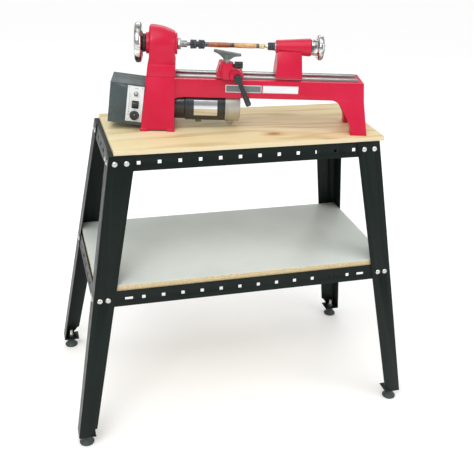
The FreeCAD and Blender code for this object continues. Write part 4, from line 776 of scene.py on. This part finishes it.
def controlBox():
    refined("control_box", 2.0, 3)
    refined("control_box_back", 0.6)
    refined("control_panel", 0.25, 1)
    refined("power_rocker", 0.7, 3)
    refined("toggle_collar", 0.3)
    refined("direction_toggle", 0.5, finish="bright_steel")
    knob = dict(skirt=12.0, skirtHigh=3.0, grip=10.4, flutes=16, fluteDeep=0.8, top=11.6, stem=3.0)
    face = -span("control_panel", knobPlace)[0].y / mm
    profile = [(face - 6, 0), (face - 6, knob["stem"]), (face + 0.3, knob["stem"]),
               (face + 0.3, knob["skirt"] - 0.3), (face + 1, knob["skirt"]),
               (face + knob["skirtHigh"], knob["skirt"] - 0.8),
               (face + knob["skirtHigh"] + 0.6, knob["grip"]), (face + 6, knob["grip"]),
               (face + 9, knob["grip"] - 0.2), (face + knob["top"], knob["grip"] - 1.2),
               (face + knob["top"], knob["grip"] - 3), (face + knob["top"] - 0.5, knob["grip"] - 4),
               (face + knob["top"] - 0.5, 0)]
    shape = ribbed(spun(profile, knob["flutes"] * 6), face + knob["skirtHigh"] + 0.4,
                   face + knob["top"] - 0.4, knob["flutes"], knob["fluteDeep"], True)
    make("speed_knob_fluted", shape, "speed_knob", "black_plastic", ["speed_knob"], knobPlace @ outFront,
         35.0)
    mark = soften(block((0.7, 0.6, 6), (0, -(face + knob["top"] - 0.5), 6.0)), 0.1 * mm)
    make("speed_knob_mark", mark, "speed_knob", "white_panel", (), knobPlace)
    dial = dict(ticks=11, sweep=300.0, start=14.6, long=2.6, wide=0.7, thick=0.12)
    printed = -face - dial["thick"] / 2
    shapes = []
    for number in range(dial["ticks"]):
        angle = math.radians(-dial["sweep"] / 2 + dial["sweep"] * number / (dial["ticks"] - 1))
        reach = dial["long"] * (1.4 if number % 5 == 0 else 1.0)
        tick = block((dial["wide"], dial["thick"], reach), (0, printed, dial["start"] + reach / 2))
        shapes.append(shifted(tick, Matrix.Rotation(angle, 4, "Y")))
    low, high = span("control_panel", knobPlace)
    rocker = span("power_rocker", knobPlace)
    for offset, wide, tall in ((-1.0, 5.0, 0.8), (-3.2, 8.0, 0.8)):
        shapes.append(block((wide, dial["thick"], tall), (0, printed, rocker[0].z / mm + offset - 1)))
    shapes.append(block((9.0, dial["thick"], 0.9), (0, printed, high.z / mm - 5)))
    rows = dict(count=9, pitch=6.4, wide=0.8, tall=4.2, inset=7.0)
    for number in range(rows["count"]):
        height = low.z / mm + 18 + number * rows["pitch"]
        shapes.append(block((rows["wide"], dial["thick"], rows["tall"]),
                            (low.x / mm + rows["inset"] - 1, printed, height)))
    make("panel_marks", joined(*shapes), "stand", "black_plastic", (), knobPlace, finish="print_grey")
    screw = dict(radius=1.9, proud=0.8, inset=4.0)
    shapes = []
    for x in (low.x / mm + screw["inset"], high.x / mm - screw["inset"]):
        for z in (low.z / mm + screw["inset"], high.z / mm - screw["inset"]):
            head = soften(drum(screw["radius"], face, face + screw["proud"], 20), 0.3 * mm)
            shapes.append(shifted(head, outFront, at(x, 0, z)))
    make("panel_screws", joined(*shapes), "stand", "zinc", (), knobPlace)


controlBox()
print("control box finished")

# nodes whose own shape is right keep it and take a finish
for name, node in frame["nodes"].items():
    node.data.materials.clear()
    node.data.materials.append(finishes[slotOf[name]])

stage = dict(size=60.0, floor=(0.97, 0.97, 0.965), glow=0.10, sky=0.62, sun=1.2)
floorMesh = bmesh.new()
bmesh.ops.create_grid(floorMesh, x_segments=1, y_segments=1, size=stage["size"] / 2)
mesh = bpy.data.meshes.new("floor")
floorMesh.to_mesh(mesh)
floorMesh.free()
floor = bpy.data.objects.new("floor", mesh)
bpy.context.scene.collection.objects.link(floor)
floorFinish, nodes, links, shader = tree("floor")
shader.inputs["Base Color"].default_value = (*stage["floor"], 1)
shader.inputs["Roughness"].default_value = 0.85
shader.inputs["Specular IOR Level"].default_value = 0.2
shader.inputs["Emission Color"].default_value = (1, 1, 1, 1)
shader.inputs["Emission Strength"].default_value = stage["glow"]
mesh.materials.append(floorFinish)

world = bpy.data.worlds.new("studio")
world.use_nodes = True
bpy.context.scene.world = world
skyNodes, skyLinks = world.node_tree.nodes, world.node_tree.links
skyWay = skyNodes.new("ShaderNodeTexCoord")
skyParts = skyNodes.new("ShaderNodeSeparateXYZ")
skyLinks.new(skyWay.outputs["Generated"], skyParts.inputs["Vector"])
sky = ramp(skyNodes, skyLinks, skyParts.outputs["Z"], [(0.0, (0.78, 0.79, 0.80)), (0.10, (0.62, 0.63, 0.64)),
                                                       (0.30, (0.66, 0.67, 0.68)), (0.75, (1.0, 1.0, 1.0))])
skyLinks.new(sky, skyNodes["Background"].inputs["Color"])
skyNodes["Background"].inputs["Strength"].default_value = stage["sky"]


def areaLight(name, place, target, size, power):
    data = bpy.data.lights.new(name, "AREA")
    data.shape = "RECTANGLE"
    data.size, data.size_y = size
    data.energy = power
    lamp = bpy.data.objects.new(name, data)
    lamp.location = place
    lamp.rotation_euler = (Vector(target) - Vector(place)).to_track_quat("-Z", "Y").to_euler()
    bpy.context.scene.collection.objects.link(lamp)


areaLight("key", (-1.6, -2.4, 3.0), (0, 0, 0.7), (1.6, 1.2), 34)
areaLight("fill", (2.4, -1.8, 1.9), (0, 0, 0.6), (1.4, 1.8), 14)
areaLight("back", (0.6, 2.4, 2.6), (0, 0, 0.8), (2.2, 0.8), 16)
sun = bpy.data.lights.new("sun", "SUN")
sun.energy = stage["sun"]
sun.angle = math.radians(60)
sunLamp = bpy.data.objects.new("sun", sun)
sunLamp.rotation_euler = (math.radians(20), math.radians(-15), 0)
bpy.context.scene.collection.objects.link(sunLamp)

view = dict(place=(-0.5402, -1.8238, 1.3975), yaw=17.09, pitch=26.49, roll=2.68, lens=57.96)
yaw, pitch, roll = (math.radians(view[name]) for name in ("yaw", "pitch", "roll"))
ahead = Vector((math.sin(yaw) * math.cos(pitch), math.cos(yaw) * math.cos(pitch), -math.sin(pitch)))
right = Vector((math.cos(yaw), -math.sin(yaw), 0))
above = right.cross(ahead)
cameraData = bpy.data.cameras.new("camera")
cameraData.lens = view["lens"]
cameraData.sensor_width = 36.0
camera = bpy.data.objects.new("camera", cameraData)
turned = Matrix((math.cos(roll) * right + math.sin(roll) * above,
                 math.cos(roll) * above - math.sin(roll) * right,
                 -ahead)).transposed().to_4x4()
camera.matrix_world = Matrix.Translation(view["place"]) @ turned
bpy.context.scene.collection.objects.link(camera)
bpy.context.scene.camera = camera
bpy.context.scene.view_settings.view_transform = "Standard"
